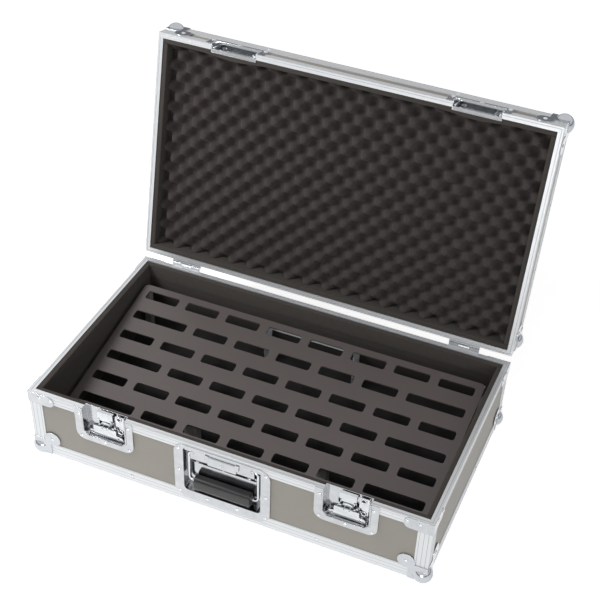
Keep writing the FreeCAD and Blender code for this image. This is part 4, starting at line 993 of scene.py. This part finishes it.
@dataclass
class CarryHandle:
    """The recessed handle: its dish, its folded cover with ring rivets, the bail and the moulded grip.

    Its sizes are in millimetres, from a Datum in the case's middle. The cover's strip is wider over its
    two ends, and its slope goes from one level and depth to another. The crease has its angle round the
    grip's section, its width in degrees and its depth as a share of the section.
    """

    fitter: Fitter
    middle: Datum = Datum()
    strip_half: float = 69.5
    strip_top: float = 129.6
    rounded_from: float = 127
    ends_foot: float = 122.5
    strip_foot: float = 106
    strip_depth: float = 1.0
    sheet: float = 1.2
    cover_half: float = 59
    slope: tuple[Flat, Flat] = ((107, 1.0), (92.2, 8.0))
    slope_sheet: Spot = (0, 1.1, 0.45)
    lip: Box = ((-59, 92, 7.6), (59, 93.2, 11.5))
    hump: Box = ((-27, 104, 1.2), (27, 124.5, -1.6))
    knuckle: Box = ((-3.4, 113, 1.2), (3.4, 127, -2.2))
    knuckle_places: Flat = (-28, 28)
    saddle: Box = ((-1.5, 111.8, 2.0), (1.5, 122.2, 12.9))
    saddle_places: tuple[float, ...] = (-32, -20, 20, 32)
    upper_rivets: tuple[Spot, ...] = ((-55.29, 121, 0.9), (0, 114, -1.7), (55.29, 121, 0.9))
    lower_rivets: tuple[Spot, ...] = ((-48, 97, 5.5), (0, 97, 5.5), (48, 97, 5.5))
    slope_facing: Spot = (0, -1, -0.5)
    grip_level: float = 50
    grip_depth: float = 3.5
    section_half: Flat = (8.3, 12.9)
    section_power: float = 0.55
    crease: Spot = (138, 9, 0.16)
    grip_widths: tuple[Flat, ...] = ((-52.5, 0.9), (-52.1, 1.0), (-51.2, 1.06), (-50, 1.08), (50, 1.08),
                                     (51.2, 1.06), (52.1, 1.0), (52.5, 0.9))
    section_steps: int = 56

    def build(self) -> None:
        """Dress the handle's solids and make its cover and grip."""
        self.fitter.dress("handle_dish", "pressed_steel")
        self.fitter.dress("handle_bail", "works_steel")
        self.fitter.dress("handle_springs", "works_steel")
        self.cover()
        self.grip()

    def cover(self) -> None:
        """Fold the cover from a flat strip: flush at the top, and sloping in below the fold."""
        form = bmesh.new()
        self.strip(form)
        (upper, upper_depth), (lower, lower_depth) = self.slope
        spots = [(-self.cover_half, upper, upper_depth), (self.cover_half, upper, upper_depth),
                 (self.cover_half, lower, lower_depth), (-self.cover_half, lower, lower_depth)]
        add_slab(form, [self.middle.point(*spot) for spot in spots], Vector(self.slope_sheet) * MM)
        round_off(form, self.middle.block(form, *self.lip), radius=0.5 * MM)
        round_off(form, self.middle.block(form, *self.hump), radius=2.2 * MM, segments=4,
                  chosen=lambda edge: min(vert.co.y for vert in edge.verts) < -CASE.half_depth - MM)
        for x in self.knuckle_places:
            round_off(form, self.middle.beside(x).block(form, *self.knuckle), radius=1.5 * MM, segments=4)
        for x in self.saddle_places:
            round_off(form, self.middle.beside(x).block(form, *self.saddle), radius=0.5 * MM)
        for spots, axis in ((self.upper_rivets, FORWARD), (self.lower_rivets, Vector(self.slope_facing))):
            for spot in spots:
                add_ring(form, self.middle.point(*spot), radius=2.9 * MM, bead=0.8 * MM, axis=axis)
        piece = self.fitter.fit(form, "handle_cover", "base", "pressed_steel", "plated_steel")
        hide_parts("handle_cover_plate")

    def strip(self, form: Form) -> None:
        """Add the cover's upright strip, rounded at its upper corners.

        Args:
            form: the mesh to add to.
        """
        right = [(self.cover_half, self.strip_foot), (self.cover_half, self.ends_foot),
                 (self.strip_half, self.ends_foot), (self.strip_half, self.strip_top)]
        corners = right + [(-x, level) for x, level in reversed(right)]
        outline = [self.middle.point(x, level, self.strip_depth) for x, level in corners]
        sheet = add_slab(form, outline, Vector((0, self.sheet * MM, 0)))
        upper = self.middle.point(0, self.rounded_from, 0).z
        round_off(form, sheet, radius=5 * MM, segments=4,
                  chosen=lambda edge: runs_back(edge) and edge.verts[0].co.z > upper)

    def grip(self) -> None:
        """Mould the grip: a rounded section with a crease at its upper front, drawn along the bar."""
        form = bmesh.new()
        steps = range(self.section_steps)
        angles = [360 * step / self.section_steps - 180 for step in steps]
        rings = [[form.verts.new(self.section_point(x, angle, share)) for angle in angles]
                 for x, share in self.grip_widths]
        for ring, following in zip(rings, rings[1:]):
            for step in steps:
                form.faces.new((ring[step - 1], ring[step], following[step], following[step - 1]))
        form.faces.new(rings[0])
        form.faces.new(rings[-1])
        piece = self.fitter.fit(form, "moulded_grip", "handle", "rubber", "grip_rubber")
        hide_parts("handle_grip")

    def section_point(self, x: float, angle: float, share: float) -> Vector:
        """Find a point of the section: a soft rectangle with a crease towards the upper front.

        Args:
            x: the place along the bar.
            angle: how far round the section, in degrees.
            share: the section's size there.

        Returns:
            The point.
        """
        across, up = math.cos(math.radians(angle)), math.sin(math.radians(angle))
        wide, tall = self.section_half
        crease_angle, crease_width, crease_depth = self.crease
        share *= 1 - crease_depth * math.exp(-((angle - crease_angle) / crease_width) ** 2)
        depth = math.copysign(abs(across) ** self.section_power, across) * wide * share
        level = math.copysign(abs(up) ** self.section_power, up) * tall * share
        return self.middle.point(x, self.grip_level + level, self.grip_depth + depth)


@dataclass
class BoardAssembly:
    """The slotted pedal board, its legs and the bracket below it."""

    fitter: Fitter

    def dress(self) -> None:
        """Give each of them its finish."""
        self.fitter.dress("pedal_board", "board_paint")
        self.fitter.dress("board_legs", "leg_paint")
        # the bracket's near-white, non-metal finish is painted reflection
        self.fitter.dress("under_board_bracket", "reflection_white_sheet")


@dataclass(frozen=True)
class Lamp:
    """A soft rectangular lamp, with its two sides in metres and its power in watts."""

    name: str
    place: Spot
    size: Flat
    power: float

    def hang(self, target: Spot) -> None:
        """Hang the lamp in its place.

        Args:
            target: what it faces.
        """
        light = bpy.data.lights.new(self.name, "AREA")
        light.shape = "RECTANGLE"
        light.size, light.size_y = self.size
        light.energy = self.power
        lamp = place_in_scene(self.name, light)
        lamp.location = self.place
        lamp.rotation_euler = (Vector(target) - Vector(self.place)).to_track_quat("-Z", "Y").to_euler()


@dataclass
class Studio:
    """A pale floor, a dome, soft lamps and the camera, which stands where the photograph was taken from.

    The floor glows, and the dome is brighter, where a reflection shows them. The dome's tones have the
    height at which each is reached. The lens and its film are in millimetres.
    """

    eye: Spot = (642.7 * MM, -1506.5 * MM, 1623.1 * MM)
    ahead: Spot = (-0.2651, 0.6868, -0.6768)
    rightward: Spot = (0.9206, 0.3890, 0.0341)
    lens: float = 74.976
    film: float = 36
    shift: Flat = (-0.01, 0.15)
    clip: Flat = (0.05, 60)
    target: Spot = (0, 0.05, 0.2)
    lamps: tuple[Lamp, ...] = (Lamp("key", (-1.0, -0.4, 1.3), (0.5, 0.5), 15),
                               Lamp("fill", (0.6, -2.6, 0.42), (1.2, 0.5), 18),
                               Lamp("side", (2.2, -0.5, 0.9), (0.6, 0.6), 6))
    floor_half: float = 30
    floor_glow: float = 0.68
    paper: tuple[str, str] = ("#f4f4f4", "#f8f8f8")
    fibre: float = 1 / 6
    white: str = "#ffffff"
    dome_tones: tuple[tuple[float, str], ...] = ((0.06, "#808286"), (0.32, "#ffffff"))
    dome_light: float = 0.32
    dome_shine: float = 1.1

    def build(self) -> None:
        """Set up the floor, the dome, the lamps and the camera."""
        self.floor()
        self.dome()
        for lamp in self.lamps:
            lamp.hang(self.target)
        self.camera()
        bpy.context.scene.view_settings.view_transform = "Standard"

    def floor(self) -> None:
        """Lay a pale floor that shows white to the camera and keeps the shadow."""
        form = bmesh.new()
        bmesh.ops.create_grid(form, x_segments=1, y_segments=1, size=self.floor_half)
        mesh = bpy.data.meshes.new("studio_floor")
        form.to_mesh(mesh)
        form.free()
        mesh.materials.append(self.floor_paper())
        floor = place_in_scene("studio_floor", mesh)

    def floor_paper(self) -> bpy.types.Material:
        """Make the floor's paper, which also glows where the camera or a reflection shows it.

        Returns:
            The material.
        """
        graph = Graph(bpy.data.materials.new("studio_paper"))
        tint = graph.tint(graph.noise(graph.place(), self.fibre), *self.paper)
        paper = graph.add("ShaderNodeBsdfDiffuse", {"Color": tint}).outputs[0]
        glow = graph.glow("ShaderNodeEmission", linear(self.white), self.floor_glow)
        both = graph.add("ShaderNodeAddShader", {0: paper, 1: glow}).outputs[0]
        path = graph.add("ShaderNodeLightPath").outputs
        seen = graph.arithmetic("MAXIMUM", path["Is Camera Ray"], path["Is Glossy Ray"])
        graph.add("ShaderNodeOutputMaterial", {"Surface": graph.choose(seen, paper, both)})
        return graph.owner

    def dome(self) -> None:
        """Light the scene from a pale dome, greyer low down, and show white behind the object."""
        world = bpy.data.worlds.new("studio_dome")
        bpy.context.scene.world = world
        graph = Graph(world)
        around = graph.add("ShaderNodeTexCoord").outputs["Generated"]
        height = graph.add("ShaderNodeSeparateXYZ", {0: around}).outputs["Z"]
        ramp = graph.add("ShaderNodeValToRGB", {0: height})
        for stop, (position, colour) in zip(ramp.color_ramp.elements, self.dome_tones):
            stop.position, stop.color = position, linear(colour)
        tone = ramp.outputs["Color"]
        light = graph.glow("ShaderNodeBackground", tone, self.dome_light)
        shine = graph.glow("ShaderNodeBackground", tone, self.dome_shine)
        white = graph.glow("ShaderNodeBackground", linear(self.white), 1)
        path = graph.add("ShaderNodeLightPath").outputs
        around_case = graph.choose(path["Is Glossy Ray"], light, shine)
        shown = graph.choose(path["Is Camera Ray"], around_case, white)
        graph.add("ShaderNodeOutputWorld", {"Surface": shown})

    def camera(self) -> None:
        """Stand the camera where the photograph was taken from."""
        lens = bpy.data.cameras.new("camera")
        lens.sensor_width = self.film
        lens.lens = self.lens
        lens.shift_x, lens.shift_y = self.shift
        lens.clip_start, lens.clip_end = self.clip
        camera = place_in_scene("camera", lens)
        back = -Vector(self.ahead).normalized()
        right = Vector(self.rightward)
        right = (right - back * right.dot(back)).normalized()
        turn = Matrix((right, back.cross(right), back)).transposed().to_4x4()
        camera.matrix_world = Matrix.Translation(self.eye) @ turn
        bpy.context.scene.camera = camera


def main() -> None:
    """Load the frame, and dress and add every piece."""
    logging.basicConfig(level=logging.INFO, format="%(name)s: %(message)s")
    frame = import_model()
    fitter = Fitter(frame, finishes())
    Shells(fitter).dress()
    BoardAssembly(fitter).dress()
    FoamLining(fitter).build()
    EggCrateFoam(fitter).build()
    for side, sign in SIDES.items():
        across = sign * CASE.latch_place / MM
        Latch(fitter, side, Datum(across), Datum(across, CASE.lid_rim)).build()
    CarryHandle(fitter).build()
    Studio().build()


if __name__ == "__main__":
    main()
